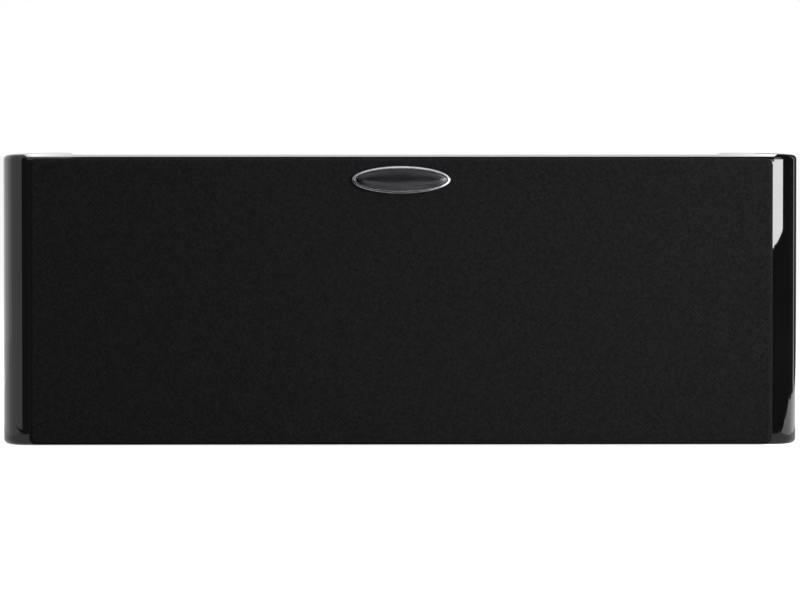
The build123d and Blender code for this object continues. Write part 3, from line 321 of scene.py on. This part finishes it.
def coated_basket():
    # Pressed steel with black powder coat: small orange-peel dimples and a half gloss
    material, tree, shader, place = new_material("steel_powder_coated_black", {"IOR": 1.5})
    peel = speckle(tree, place, 1.0 * MM, 2)
    two_tones(tree, shader, speckle(tree, place, 15 * MM, 3), "#121213", "#1c1c1d")
    vary_roughness(tree, shader, peel, 0.32, 0.48)
    raise_surface(tree, shader, peel, 0.06 * MM)
    return material


def cone_paper():
    # Coated paper pulp, pressed: dark grey with flecks of fibre and a dry, uneven surface
    material, tree, shader, place = new_material("paper_pulp_pressed_coated", {"Roughness": 0.7})
    fibres = speckle(tree, place, 1.5 * MM, 8)
    two_tones(tree, shader, fibres, "#1a1a1c", "#343437")
    raise_surface(tree, shader, fibres, 0.12 * MM)
    return material


def moulded_cap():
    # Polypropylene dust cap, thermoformed: smooth, waxy half gloss
    material, tree, shader, place = new_material("polypropylene_formed_black", {"IOR": 1.49})
    wax = speckle(tree, place, 8 * MM, 3)
    two_tones(tree, shader, wax, "#121213", "#1d1d1e")
    vary_roughness(tree, shader, wax, 0.25, 0.36)
    return material


def wound_copper():
    # Enamelled copper wire, wound in close turns: reddish metal under clear varnish
    material, tree, shader, place = new_material(
        "copper_wire_enamelled", {"Metallic": 1.0, "Coat Weight": 0.5, "Coat Roughness": 0.1}
    )
    turn = 0.5 * MM
    bands = {"Vector": place, "Scale": WAVE_BAND / turn, "Distortion": 0.6}
    turns = add(tree, "ShaderNodeTexWave", bands, bands_direction="Y").outputs["Fac"]
    two_tones(tree, shader, turns, "#7c3a1e", "#c26a3c")
    vary_roughness(tree, shader, turns, 0.25, 0.4)
    raise_surface(tree, shader, turns, 0.1 * MM)
    return material


def dipped_spider():
    # Cotton dipped in phenolic resin and hot pressed: yellow-brown weave
    material, tree, shader, place = new_material("cotton_resin_dipped", {"Roughness": 0.75})
    thread = 0.9 * MM
    checks = add(tree, "ShaderNodeTexChecker", {"Vector": place, "Scale": 1 / thread}).outputs["Fac"]
    slub = speckle(tree, place, 1.5 * MM, 5)
    mixed = add(tree, "ShaderNodeMath", {0: checks, 1: slub}, operation="MULTIPLY").outputs["Value"]
    two_tones(tree, shader, mixed, "#7d5a2c", "#c09a58", 0.1, 0.6)
    raise_surface(tree, shader, mixed, 0.1 * MM)
    return material


def plated_steel():
    # Mild steel, stamped and zinc plated: cool grey with cloudy spangle
    material, tree, shader, place = new_material("steel_zinc_plated", {"Metallic": 1.0})
    spangle = add(tree, "ShaderNodeTexVoronoi", {"Vector": place, "Scale": 1 / (3 * MM)}).outputs["Distance"]
    two_tones(tree, shader, spangle, "#8f9499", "#b6bac0", 0.1, 0.9)
    vary_roughness(tree, shader, spangle, 0.3, 0.45)
    return material


def sintered_ferrite():
    # Ferrite, pressed and sintered: charcoal grey, chalky, with small pits
    material, tree, shader, place = new_material("ferrite_sintered", {"Roughness": 0.8})
    pits = speckle(tree, place, 0.8 * MM, 6)
    two_tones(tree, shader, pits, "#232325", "#3a3a3c")
    raise_surface(tree, shader, pits, 0.1 * MM)
    return material


def phenolic_board():
    # Paper phenolic strip, punched: brown, layered, with a dull glaze
    material, tree, shader, place = new_material("phenolic_paper_punched", {"Roughness": 0.45})
    layers = speckle(tree, place, 2 * MM, 5)
    two_tones(tree, shader, layers, "#5a3a1e", "#80562e")
    return material


def blackened_screw():
    # Steel screw, cold forged and blackened: dark oily metal with brighter worn edges
    material, tree, shader, place = new_material("steel_black_oxide", {"Metallic": 1.0})
    wear = speckle(tree, place, 1.0 * MM, 4)
    two_tones(tree, shader, wear, "#1a1a1b", "#3c3c3e", 0.45, 0.8)
    vary_roughness(tree, shader, wear, 0.3, 0.5)
    return material


def coated_silk():
    # Silk dome, woven fine and doped: soft black with a slight tack.
    # The real threads are about 0.15 mm apart. They are drawn 0.6 mm apart so that they show.
    thread = 0.6 * MM
    material, tree, shader, place = new_material("silk_doped_black", {"Roughness": 0.5, "Sheen Weight": 0.3})
    checks = add(tree, "ShaderNodeTexChecker", {"Vector": place, "Scale": 1 / thread}).outputs["Fac"]
    slub = speckle(tree, place, 1.0 * MM, 4)
    mixed = add(tree, "ShaderNodeMath", {0: checks, 1: slub}, operation="MULTIPLY").outputs["Value"]
    two_tones(tree, shader, mixed, "#151516", "#2a2a2c", 0.1, 0.6)
    raise_surface(tree, shader, mixed, 0.04 * MM)
    return material


def gilt_brass():
    # Brass, turned and gold flashed: warm yellow metal with fine lathe rings
    material, tree, shader, place = new_material("brass_turned_gold_flashed", {"Metallic": 1.0})
    ring = 0.35 * MM
    bands = {"Vector": place, "Scale": WAVE_BAND / ring, "Distortion": 0.3}
    rings = add(tree, "ShaderNodeTexWave", bands, bands_direction="Y").outputs["Fac"]
    two_tones(tree, shader, rings, "#b58a35", "#dcb964")
    vary_roughness(tree, shader, rings, 0.16, 0.3)
    raise_surface(tree, shader, rings, 0.02 * MM)
    return material


def moulded_knob(name, dark, light):
    # Coloured ABS from a polished mould: clean half gloss with slight flow clouds
    material, tree, shader, place = new_material(name, {"IOR": 1.53})
    flow = speckle(tree, place, 3 * MM, 3)
    two_tones(tree, shader, flow, dark, light)
    vary_roughness(tree, shader, flow, 0.22, 0.34)
    return material


def circuit_board():
    # Glass epoxy board under green solder mask: woven glass shows through the mask
    material, tree, shader, place = new_material("glass_epoxy_solder_masked", {"IOR": 1.55})
    strand = 0.8 * MM
    checks = add(tree, "ShaderNodeTexChecker", {"Vector": place, "Scale": 1 / strand}).outputs["Fac"]
    two_tones(tree, shader, checks, "#1c5531", "#23633a", 0.0, 1.0)
    vary_roughness(tree, shader, speckle(tree, place, 5 * MM, 3), 0.25, 0.4)
    return material


def capacitor_film():
    # Polyester film capacitor, wrapped in yellow tape: smooth with faint wrap lines
    material, tree, shader, place = new_material("polyester_tape_wrapped_yellow", {"IOR": 1.55})
    wraps = speckle(tree, place, 4 * MM, 4)
    two_tones(tree, shader, wraps, "#c49a1c", "#dcb83a")
    vary_roughness(tree, shader, wraps, 0.25, 0.4)
    return material


def cast_cement():
    # Ceramic resistor case filled with cement: chalky white, slightly pitted
    material, tree, shader, place = new_material("ceramic_cement_filled", {"Roughness": 0.85})
    pits = speckle(tree, place, 1.0 * MM, 5)
    two_tones(tree, shader, pits, "#b9b6ad", "#dad7ce")
    raise_surface(tree, shader, pits, 0.08 * MM)
    return material


def lead_sheath():
    # Flexible PVC sheath, extruded: soft grey with slight draw lines
    material, tree, shader, place = new_material("pvc_extruded_grey", {"IOR": 1.54})
    drawn = speckle(tree, place, 3 * MM, 3)
    two_tones(tree, shader, drawn, "#2c2c30", "#3d3d42")
    vary_roughness(tree, shader, drawn, 0.4, 0.55)
    return material


def both(*names):
    """The left and right node of each name."""
    return [f"{side}_{name}" for side in SIDES for name in names]


def posts(*names):
    """The red and black node of each name."""
    return [f"{colour}_{name}" for colour in POSTS for name in names]


def dress_nodes(finishes):
    """Puts a finish on every CAD node: finishes pairs a material with the nodes that carry it."""
    dressed = set()
    for material, names in finishes:
        for name in names:
            mesh = NODES[name].data
            mesh.materials.clear()
            mesh.materials.append(material)
            dressed.add(name)
    assert dressed == set(NODES), sorted(set(NODES) - dressed)


def merged_copy(node, name):
    """A plain mesh object that starts as a copy of a CAD node, with its loose triangles merged."""
    mesh = NODES[node].data.copy()
    work = bmesh.new()
    work.from_mesh(mesh)
    bmesh.ops.remove_doubles(work, verts=work.verts, dist=0.001 * MM)
    work.to_mesh(mesh)
    work.free()
    return link_piece(mesh, name)


def link_piece(mesh, name):
    """Puts a mesh in the scene as a piece at the origin."""
    piece = bpy.data.objects.new(name, mesh)
    bpy.context.scene.collection.objects.link(piece)
    return piece


def finish_mesh(work, name, materials):
    """Turns bmesh work into a named, smooth shaded mesh with its materials."""
    bmesh.ops.recalc_face_normals(work, faces=work.faces)
    for face in work.faces:
        face.smooth = True
    mesh = bpy.data.meshes.new(name)
    work.to_mesh(mesh)
    work.free()
    for material in materials:
        mesh.materials.append(material)
    return mesh


def rounded_outline(half_width, half_height, radius):
    """Points round a rectangle with rounded corners, as (x, z), and the way outwards at each."""
    outline = []
    corners = ((1, 1, 0), (-1, 1, 90), (-1, -1, 180), (1, -1, 270))
    for sign_x, sign_z, start in corners:
        centre = Vector((sign_x * (half_width - radius), sign_z * (half_height - radius)))
        for step in range(CLOTH_CORNER_STEPS + 1):
            angle = radians(start + 90 * step / CLOTH_CORNER_STEPS)
            outward = Vector((cos(angle), sin(angle)))
            outline.append((centre + radius * outward, outward))
    return outline


def bridge(work, one, other):
    """Faces between two closed rings with the same number of points."""
    faces = []
    for i in range(len(one)):
        j = (i + 1) % len(one)
        faces.append(work.faces.new((one[i], one[j], other[j], other[i])))
    return faces


def cloth_profile(sides):
    """Steps from the flat front over the rolled edge and back: inset, depth and length along the cloth."""
    profile = []
    for step in range(CLOTH_ROLL_STEPS + 1):
        angle = pi / 2 * step / CLOTH_ROLL_STEPS
        inset = CLOTH_ROLL_RADIUS * (1 - sin(angle))
        depth = CLOTH_ROLL_RADIUS * (1 - cos(angle))
        profile.append((inset, depth, CLOTH_ROLL_RADIUS * angle))
    profile.append((0, CLOTH_ROLL_RADIUS + sides, CLOTH_ROLL_RADIUS * pi / 2 + sides))
    return profile


def stretched_cloth(material):
    """The cloth over the grille frame: a flat front, a rolled edge and sides back to the glue line."""
    low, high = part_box("grille_cloth")
    middle = (low + high) / 2
    half_width = (high.x - low.x) / 2
    half_height = (high.z - low.z) / 2
    sides = high.y - low.y - CLOTH_ROLL_RADIUS
    outline = rounded_outline(half_width, half_height, CLOTH_CORNER_RADIUS)
    work = bmesh.new()
    uv = work.loops.layers.uv.new("cloth")
    laid_flat = {}
    rings = []
    for inset, depth, run in cloth_profile(sides):
        ring = []
        for point, outward in outline:
            place = point - inset * outward
            vert = work.verts.new((middle.x + place.x, low.y + depth, middle.z + place.y))
            laid_flat[vert] = point + (run - CLOTH_ROLL_RADIUS) * outward
            ring.append(vert)
        rings.append(ring)
    work.faces.new(rings[0])
    for inner, outer in zip(rings, rings[1:]):
        bridge(work, inner, outer)
    for face in work.faces:
        for loop in face.loops:
            loop[uv].uv = laid_flat[loop.vert]
    cloth = link_piece(finish_mesh(work, "stretched_grille_cloth", [material]), "stretched_grille_cloth")
    thickness = cloth.modifiers.new("thickness", "SOLIDIFY")
    thickness.thickness = CLOTH_THICKNESS
    thickness.offset = -1
    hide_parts("grille_cloth")
    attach(cloth, "grille")


def badge_profile(thickness, half_height):
    """Steps from the plate's edge to its middle: inset, height and slot (1 is the rim, 0 the field)."""
    profile = [(0.0, 0.0, 1)]
    bevel_width = BADGE_RIM - BADGE_LIP
    for step in range(BADGE_RIM_STEPS):
        share = step / BADGE_RIM_STEPS
        drop = BADGE_BEVEL * (1 - share) ** BADGE_BEVEL_CURVE
        profile.append((bevel_width * share, thickness - drop, 1))
    for step in range(BADGE_RIM_STEPS + 1):
        angle = pi / 2 * step / BADGE_RIM_STEPS
        inset = bevel_width + BADGE_LIP * sin(angle)
        drop = BADGE_FIELD_DEPTH * (1 - cos(angle))
        profile.append((inset, thickness - drop, 1))
    for step in range(1, BADGE_FIELD_RINGS):
        share = step / BADGE_FIELD_RINGS
        inset = BADGE_RIM + share * (half_height - BADGE_RIM)
        rise = BADGE_CROWN * sin(pi / 2 * share)
        profile.append((inset, thickness - BADGE_FIELD_DEPTH + rise, 0))
    return profile


def badge_plate(field, rim):
    """Oval plate with a bevelled polished rim round a brushed field that is slightly crowned."""
    low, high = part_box("badge")
    middle = (low + high) / 2
    half_length = (high.x - low.x) / 2
    half_height = (high.z - low.z) / 2
    profile = badge_profile(high.y - low.y, half_height)
    work = bmesh.new()
    rings = []
    for inset, height, _ in profile:
        ring = []
        for step in range(BADGE_STEPS):
            angle = 2 * pi * step / BADGE_STEPS
            x = (half_length - inset) * cos(angle)
            z = (half_height - inset) * sin(angle)
            ring.append(work.verts.new((middle.x + x, high.y - height, middle.z + z)))
        rings.append(ring)
    for (_, _, slot), outer, inner in zip(profile[1:], rings, rings[1:]):
        for face in bridge(work, outer, inner):
            face.material_index = slot
    work.faces.new(rings[-1]).material_index = 0
    work.faces.new(rings[0]).material_index = 1
    plate = link_piece(finish_mesh(work, "oval_badge_plate", [field, rim]), "oval_badge_plate")
    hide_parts("badge")
    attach(plate, "grille")


def damping_pad(side, material):
    """Wadding behind a woofer: a crowned pad, lumpy where its fibres bunch, flat against the rear panel."""
    node = f"{side}_damping_pad"
    low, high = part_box(node)
    size = high - low
    middle = (low + high) / 2
    work = bmesh.new()
    bmesh.ops.create_grid(work, x_segments=PAD_GRID, y_segments=PAD_GRID, size=0.5)
    front = list(work.verts)
    for vert in front:
        u, v = vert.co.x, vert.co.y
        crown = (1 - (2 * u) ** 6) * (1 - (2 * v) ** 6)
        pull = 1 - PAD_SIDE_PULL * (1 - (2 * v) ** 2) * abs(2 * u) ** 3
        place = Vector((u * size.x * pull, 0, v * size.z))
        lump = noise.noise(place / PAD_LUMP) * PAD_LUMP_SHARE
        height = size.y * (PAD_EDGE_SHARE + PAD_CROWN_SHARE * max(crown, 0) ** 0.5 + lump * crown)
        vert.co = Vector((middle.x + place.x, high.y - height, middle.z + place.z))
    border = [edge for edge in work.edges if edge.is_boundary]
    made = bmesh.ops.extrude_edge_only(work, edges=border)["geom"]
    back = [item for item in made if isinstance(item, bmesh.types.BMVert)]
    for vert in back:
        vert.co.y = high.y
    bmesh.ops.holes_fill(work, edges=[edge for edge in work.edges if edge.is_boundary])
    pad = link_piece(finish_mesh(work, f"{side}_wadding", [material]), f"{side}_wadding")
    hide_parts(node)
    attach(pad, "cabinet")


def flexing_ring(side, name, material):
    """A surround or spider as a smooth shaded, merged copy of its node with its material, in place of the
    node.
    """
    node = f"{side}_{name}"
    piece = merged_copy(node, f"{node}_flexing")
    piece.data.materials.clear()
    piece.data.materials.append(material)
    piece.data.polygons.foreach_set("use_smooth", [True] * len(piece.data.polygons))
    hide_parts(node)
    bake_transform(piece)


def winding_tree():
    """Geometry nodes that wind wire round a bobbin from its sizes."""
    tree = bpy.data.node_groups.new("bobbin_winding", "GeometryNodeTree")
    for name, kind in (
        ("Radius", "NodeSocketFloat"),
        ("Length", "NodeSocketFloat"),
        ("Wire Radius", "NodeSocketFloat"),
        ("Turns", "NodeSocketFloat"),
        ("Centre", "NodeSocketVector"),
        ("Material", "NodeSocketMaterial"),
    ):
        tree.interface.new_socket(name, in_out="INPUT", socket_type=kind)
    tree.interface.new_socket("Winding", in_out="OUTPUT", socket_type="NodeSocketGeometry")
    sizes = add(tree, "NodeGroupInput").outputs
    helix = add(
        tree,
        "GeometryNodeCurveSpiral",
        {
            "Resolution": TURN_STEPS,
            "Rotations": sizes["Turns"],
            "Start Radius": sizes["Radius"],
            "End Radius": sizes["Radius"],
            "Height": sizes["Length"],
        },
    )
    circle = {"Resolution": WIRE_STEPS, "Radius": sizes["Wire Radius"]}
    section = add(tree, "GeometryNodeCurvePrimitiveCircle", circle)
    wire = add(
        tree,
        "GeometryNodeCurveToMesh",
        {"Curve": helix.outputs["Curve"], "Profile Curve": section.outputs["Curve"], "Fill Caps": True},
    )
    placed = add(
        tree,
        "GeometryNodeTransform",
        {"Geometry": wire.outputs["Mesh"], "Rotation": (pi / 2, 0, 0), "Translation": sizes["Centre"]},
    )
    whole = add(tree, "GeometryNodeRealizeInstances", {"Geometry": placed.outputs["Geometry"]})
    finished = add(
        tree,
        "GeometryNodeSetMaterial",
        {"Geometry": whole.outputs["Geometry"], "Material": sizes["Material"]},
    )
    add(tree, "NodeGroupOutput", {"Winding": finished.outputs["Geometry"]})
    return tree


def made_by(tree, name, sizes):
    """A plain mesh piece from a geometry nodes tree and its named sizes."""
    seed = link_piece(bpy.data.meshes.new(name), name)
    modifier = seed.modifiers.new("shape", "NODES")
    modifier.node_group = tree
    for item in tree.interface.items_tree:
        if item.in_out == "INPUT":
            modifier[item.identifier] = sizes[item.name]
    evaluated = seed.evaluated_get(bpy.context.evaluated_depsgraph_get())
    mesh = bpy.data.meshes.new_from_object(evaluated)
    seed.modifiers.remove(modifier)
    seed.data = mesh
    mesh.polygons.foreach_set("use_smooth", [True] * len(mesh.polygons))
    return seed


def coil_windings(material):
    """The wire on each crossover coil."""
    tree = winding_tree()
    for node in ("woofer_inductor", "tweeter_inductor"):
        low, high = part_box(node)
        middle = (low + high) / 2
        length = high.y - low.y - 2 * CHEEK_THICKNESS - 2 * WIRE_RADIUS
        sizes = {
            "Radius": (high.x - low.x) / 2 - CHEEK_OVERHANG,
            "Length": length,
            "Wire Radius": WIRE_RADIUS,
            "Turns": length / (2 * WIRE_RADIUS),
            "Centre": (middle.x, middle.y + length / 2, middle.z),
            "Material": material,
        }
        winding = made_by(tree, f"{node}_winding", sizes)
        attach(winding, "cabinet")


def stage_material(name, level):
    """A surface of the studio that only glows white, at a level where 1 is full white."""
    material = bpy.data.materials.new(name)
    material.use_nodes = True
    tree = material.node_tree
    tree.nodes.clear()
    glow = add(tree, "ShaderNodeEmission", {"Color": linear("#ffffff"), "Strength": level})
    add(tree, "ShaderNodeOutputMaterial", {"Surface": glow.outputs["Emission"]})
    return material


def studio_card(name, verts, faces, material):
    """A card of the studio that shows only in reflections."""
    mesh = bpy.data.meshes.new(name)
    mesh.from_pydata(verts, [], faces)
    mesh.materials.append(material)
    card = link_piece(mesh, name)
    card.visible_camera = False
    card.visible_diffuse = False
    card.visible_transmission = False
    card.visible_shadow = False


def curved_card(name, centre, feet, material):
    """An upright card whose feet are given as (angle, distance, height) from a place on the speaker's front.

    An angle of 0 is straight ahead of the speaker and 90 is straight out to the side that the place is on.
    """
    side = 1 if centre[0] > 0 else -1
    verts = []
    for angle, distance, height in feet:
        x = centre[0] + side * distance * sin(radians(angle))
        y = centre[1] - distance * cos(radians(angle))
        verts += [(x, y, 0), (x, y, height)]
    faces = [(i, i + 2, i + 3, i + 1) for i in range(0, len(verts) - 2, 2)]
    studio_card(name, verts, faces, material)


def flat_card(name, start, end, low, high, material):
    """An upright card over a straight line between two places on the floor."""
    verts = [(*start, low), (*end, low), (*end, high), (*start, high)]
    studio_card(name, verts, [range(4)], material)


def level_card(name, near, far, height, material):
    """A level card between two opposite corners."""
    corners = (near, (far[0], near[1]), far, (near[0], far[1]))
    verts = [(x, y, height) for x, y in corners]
    studio_card(name, verts, [range(4)], material)


def right_end_cards(finish):
    """Black flags round the right end, with a strip light that shows over the low one."""
    velvet = finish["black_velvet"]
    low_feet = [(-6, 0.11, 0.12), (30, 0.11, 0.1274), (53, 0.15, 0.1331)]
    tall_feet = [(53, 0.15, 1.3), (67, 0.26, 1.3), (96, 0.5, 1.3), (132, 0.6, 1.3)]
    rear_feet = [(139, 0.6, 1.3), (170, 1.5, 1.3), (179, 4.0, 1.3)]
    curved_card("right_low_flag", RIGHT_CORNER, low_feet, velvet)
    curved_card("right_flag", RIGHT_CORNER, tall_feet, velvet)
    curved_card("right_rear_flag", RIGHT_CORNER, rear_feet, velvet)
    curved_card("strip_light", RIGHT_CORNER, [(2.4, 1.43, 0.45), (53, 1.5, 0.45)], finish["strip_light"])


def left_end_cards(finish):
    """A grey flag beside the left end, a thin dark line of painted shadow that runs out from it, and pale
    surfaces beyond.
    """
    near, flag_height = 0.11, 0.3
    first, last, step = 28, 76, 6
    flag_feet = [(-4, near, flag_height), (first, near, flag_height)]
    curved_card("left_low_flag", LEFT_CORNER, flag_feet, finish["grey_felt"])
    # The painted shadow line winds outwards as a spiral and tapers to nothing
    spiral, line_height = 75, 3 * MM
    shadow_line_feet = []
    for angle in range(first, last + 1, step):
        distance = near * exp((angle - first) / spiral)
        shadow_line_feet.append((angle, distance, line_height * (last - angle) / (last - first)))
    curved_card("left_shadow_line", LEFT_CORNER, shadow_line_feet, finish["black_velvet"])
    level_card("left_mat", (-2.2, -1.6), (-0.255, 0.5), 2 * MAT_LAYER, finish["white_paper"])
    glow_feet = [(95, 1.5, 1.0), (130, 1.5, 1.0), (170, 1.5, 1.0)]
    curved_card("left_glow", LEFT_CORNER, glow_feet, finish["left_light"])


def badge_cards(finish):
    """A light that catches the badge's right end, and grey felt that its field and lower rim mirror."""
    light_feet = [(12, 0.2, 0.185), (36, 0.2, 0.185), (60, 0.2, 0.185)]
    curved_card("badge_light", BADGE_END, light_feet, finish["badge_spot"])
    level_card("badge_mat", (-0.25, -0.62), (0.1, -0.25), 3 * MAT_LAYER, finish["grey_felt"])
    flat_card("badge_flag", (-0.05, -0.36), (-0.22, -0.27), 0, 0.18, finish["grey_felt"])


def edge_cards(finish):
    """Mats at the speaker's foot, darker than the floor's glow: painted shadow of the speaker on the floor,
    which its ends and lower edge mirror, so that they don't melt into the white floor.
    """
    for side, name in ((-1, "left_edge_shadow_mat"), (1, "right_edge_shadow_mat")):
        level_card(name, (side * 0.2, -0.2), (side * 0.33, 0.1), 4 * MAT_LAYER, finish["shadow_grey_paper"])
    # Black velvet under the grille's overhang: painted shadow where the floor lies in the speaker's shade,
    # mirrored by the lower front edge
    level_card("front_shadow_mat", (-0.233, -0.115), (0.233, -0.09), 3 * MAT_LAYER, finish["black_velvet"])


def top_cards(finish):
    """Flags and lights ahead, above and behind, for the badge, the top panel and its edges."""
    velvet = finish["black_velvet"]
    flat_card("front_flag", (-0.6, -1.6), (0.28, -1.6), 0, 0.45, velvet)
    level_card("ceiling_flag", (-0.236, -0.35), (0.8, 0.6), 0.7, velvet)
    leaning = [(-0.5, -1.4, 0.75), (1.2, -1.2, 0.75), (1.2, -1.1, 1.25), (-0.5, -1.3, 1.25)]
    studio_card("top_light", leaning, [range(4)], finish["top_light"])
    flat_card("backdrop", (-0.34, 1.2), (0.34, 1.2), 0.1, 0.26, finish["grey_paper"])
    flat_card("back_light", (-0.5, 1.2), (0.5, 1.2), 0.28, 0.6, finish["back_light"])


def cards():
    """Everything that the lacquer and the badge mirror, apart from the floor and the white world."""
    finish = {name: stage_material(name, level) for name, level in CARD_LEVELS.items()}
    right_end_cards(finish)
    left_end_cards(finish)
    badge_cards(finish)
    edge_cards(finish)
    top_cards(finish)


def seen_directly(tree):
    """1 for what the camera sees, straight, mirrored or through glass, and 0 for scattered light."""
    path = add(tree, "ShaderNodeLightPath").outputs
    seen = path["Is Camera Ray"]
    for kind in ("Is Glossy Ray", "Is Transmission Ray"):
        seen = add(tree, "ShaderNodeMath", {0: seen, 1: path[kind]}, operation="MAXIMUM").outputs["Value"]
    return seen


def floor():
    """A pale floor that keeps the speaker's shadow and looks white to the camera elsewhere."""
    material = bpy.data.materials.new("pale_floor")
    material.use_nodes = True
    tree = material.node_tree
    tree.nodes.clear()
    seen = seen_directly(tree)
    lift = add(tree, "ShaderNodeMath", {0: seen, 1: FLOOR_GLOW}, operation="MULTIPLY").outputs["Value"]
    matt = add(tree, "ShaderNodeBsdfDiffuse", {"Color": linear("#e8e8e8")})
    glow = add(tree, "ShaderNodeEmission", {"Strength": lift})
    whole = add(tree, "ShaderNodeAddShader", {0: matt.outputs["BSDF"], 1: glow.outputs["Emission"]})
    add(tree, "ShaderNodeOutputMaterial", {"Surface": whole.outputs["Shader"]})
    corners = [(x * FLOOR_REACH, y * FLOOR_REACH, 0) for x, y in ((-1, -1), (1, -1), (1, 1), (-1, 1))]
    mesh = bpy.data.meshes.new("floor")
    mesh.from_pydata(corners, [], [range(4)])
    mesh.materials.append(material)
    link_piece(mesh, "floor")


def world():
    """White to the camera and in reflections, and a soft grey fill for everything else."""
    scene_world = bpy.data.worlds.new("studio")
    bpy.context.scene.world = scene_world
    scene_world.use_nodes = True
    tree = scene_world.node_tree
    tree.nodes.clear()
    seen = seen_directly(tree)
    span = {"Value": seen, "To Min": FILL_LEVEL, "To Max": 1.0}
    level = add(tree, "ShaderNodeMapRange", span).outputs["Result"]
    sky = add(tree, "ShaderNodeBackground", {"Color": linear("#ffffff"), "Strength": level})
    add(tree, "ShaderNodeOutputWorld", {"Surface": sky.outputs["Background"]})


def soft_lamp(name, place, size, power):
    """A soft rectangular lamp that faces the speaker. It has metres for its size and watts for its power."""
    data = bpy.data.lights.new(name, "AREA")
    data.shape = "RECTANGLE"
    data.size, data.size_y = size
    data.energy = power
    lamp = bpy.data.objects.new(name, data)
    lamp.location = place
    lamp.rotation_euler = (Vector(LAMP_TARGET) - Vector(place)).to_track_quat("-Z", "Y").to_euler()
    lamp.visible_glossy = False
    bpy.context.scene.collection.objects.link(lamp)


def lamps():
    """An overhead box and a key from the right. Their reflections are left to the cards."""
    soft_lamp("overhead", (0, -0.25, 1.5), (1.8, 0.8), 14)
    soft_lamp("key", (1.0, -0.8, 0.6), (0.7, 0.7), 24)


def camera():
    """A nearly level front view from a little above the top, framed for an 800 by 600 image."""
    front = CAD_BOX[0].y
    width = CAD_BOX[1].x - CAD_BOX[0].x
    data = bpy.data.cameras.new("camera")
    focal_pixels = SPEAKER_PIXELS * (CAMERA_DISTANCE + WIDEST_DEPTH) / width
    data.sensor_width = SENSOR_WIDTH
    data.lens = focal_pixels * SENSOR_WIDTH / IMAGE_WIDTH
    view = bpy.data.objects.new("camera", data)
    view.location = (CAMERA_SIDE, front - CAMERA_DISTANCE, CAMERA_HEIGHT)
    aim = Vector((AIM_SIDE, front, AIM_HEIGHT)) - view.location
    view.rotation_euler = aim.to_track_quat("-Z", "Y").to_euler()
    bpy.context.scene.collection.objects.link(view)
    bpy.context.scene.camera = view


def dress_speaker():
    """Gives every CAD node its finish, and makes the pieces that need more than that."""
    cloth = grille_cloth()
    field = brushed_badge()
    fleece = wadding()
    rubber = moulded_rubber()
    spider = dipped_spider()
    copper = wound_copper()
    dress_nodes(
        [
            (gloss_lacquer(), ["top_panel", "bottom_panel", "front_baffle", *both("side_panel")]),
            (satin_board(), ["rear_panel"]),
            (raw_board(), ["centre_brace"]),
            (fleece, both("damping_pad")),
            (moulded_black(), ["grille_frame", "tweeter_faceplate", "port_tube", "terminal_cup"]),
            (cloth, ["grille_cloth"]),
            (field, ["badge"]),
            (rubber, ["grille_cups", *both("surround")]),
            (coated_basket(), both("basket")),
            (cone_paper(), both("cone")),
            (moulded_cap(), both("dust_cap")),
            (copper, ["tweeter_voice_coil", "woofer_inductor", "tweeter_inductor", *both("voice_coil")]),
            (spider, both("spider")),
            (
                plated_steel(),
                ["tweeter_top_plate", "tweeter_back_plate", "post_nuts", *both("top_plate", "back_plate")],
            ),
            (sintered_ferrite(), ["tweeter_magnet", *both("magnet")]),
            (phenolic_board(), ["tweeter_tag", *both("woofer_tag")]),
            (blackened_screw(), ["woofer_screws", "tweeter_screws", "terminal_cup_screws"]),
            (coated_silk(), ["tweeter_dome"]),
            (gilt_brass(), posts("post", "clamp_washer")),
            (moulded_knob("abs_moulded_red", "#9a0f14", "#b8181d"), ["red_knob"]),
            (moulded_knob("abs_moulded_black", "#101011", "#191919"), ["black_knob"]),
            (circuit_board(), ["crossover_board"]),
            (capacitor_film(), ["crossover_capacitors"]),
            (cast_cement(), ["crossover_resistor"]),
            (lead_sheath(), ["tweeter_lead", *both("woofer_lead")]),
        ]
    )
    stretched_cloth(cloth)
    badge_plate(field, polished_rim())
    for side in SIDES:
        damping_pad(side, fleece)
        flexing_ring(side, "surround", rubber)
        flexing_ring(side, "spider", spider)
    coil_windings(copper)


def main():
    """Dresses the speaker and sets up the studio."""
    dress_speaker()
    floor()
    world()
    cards()
    lamps()
    camera()
    bpy.context.scene.view_settings.view_transform = "Standard"


main()
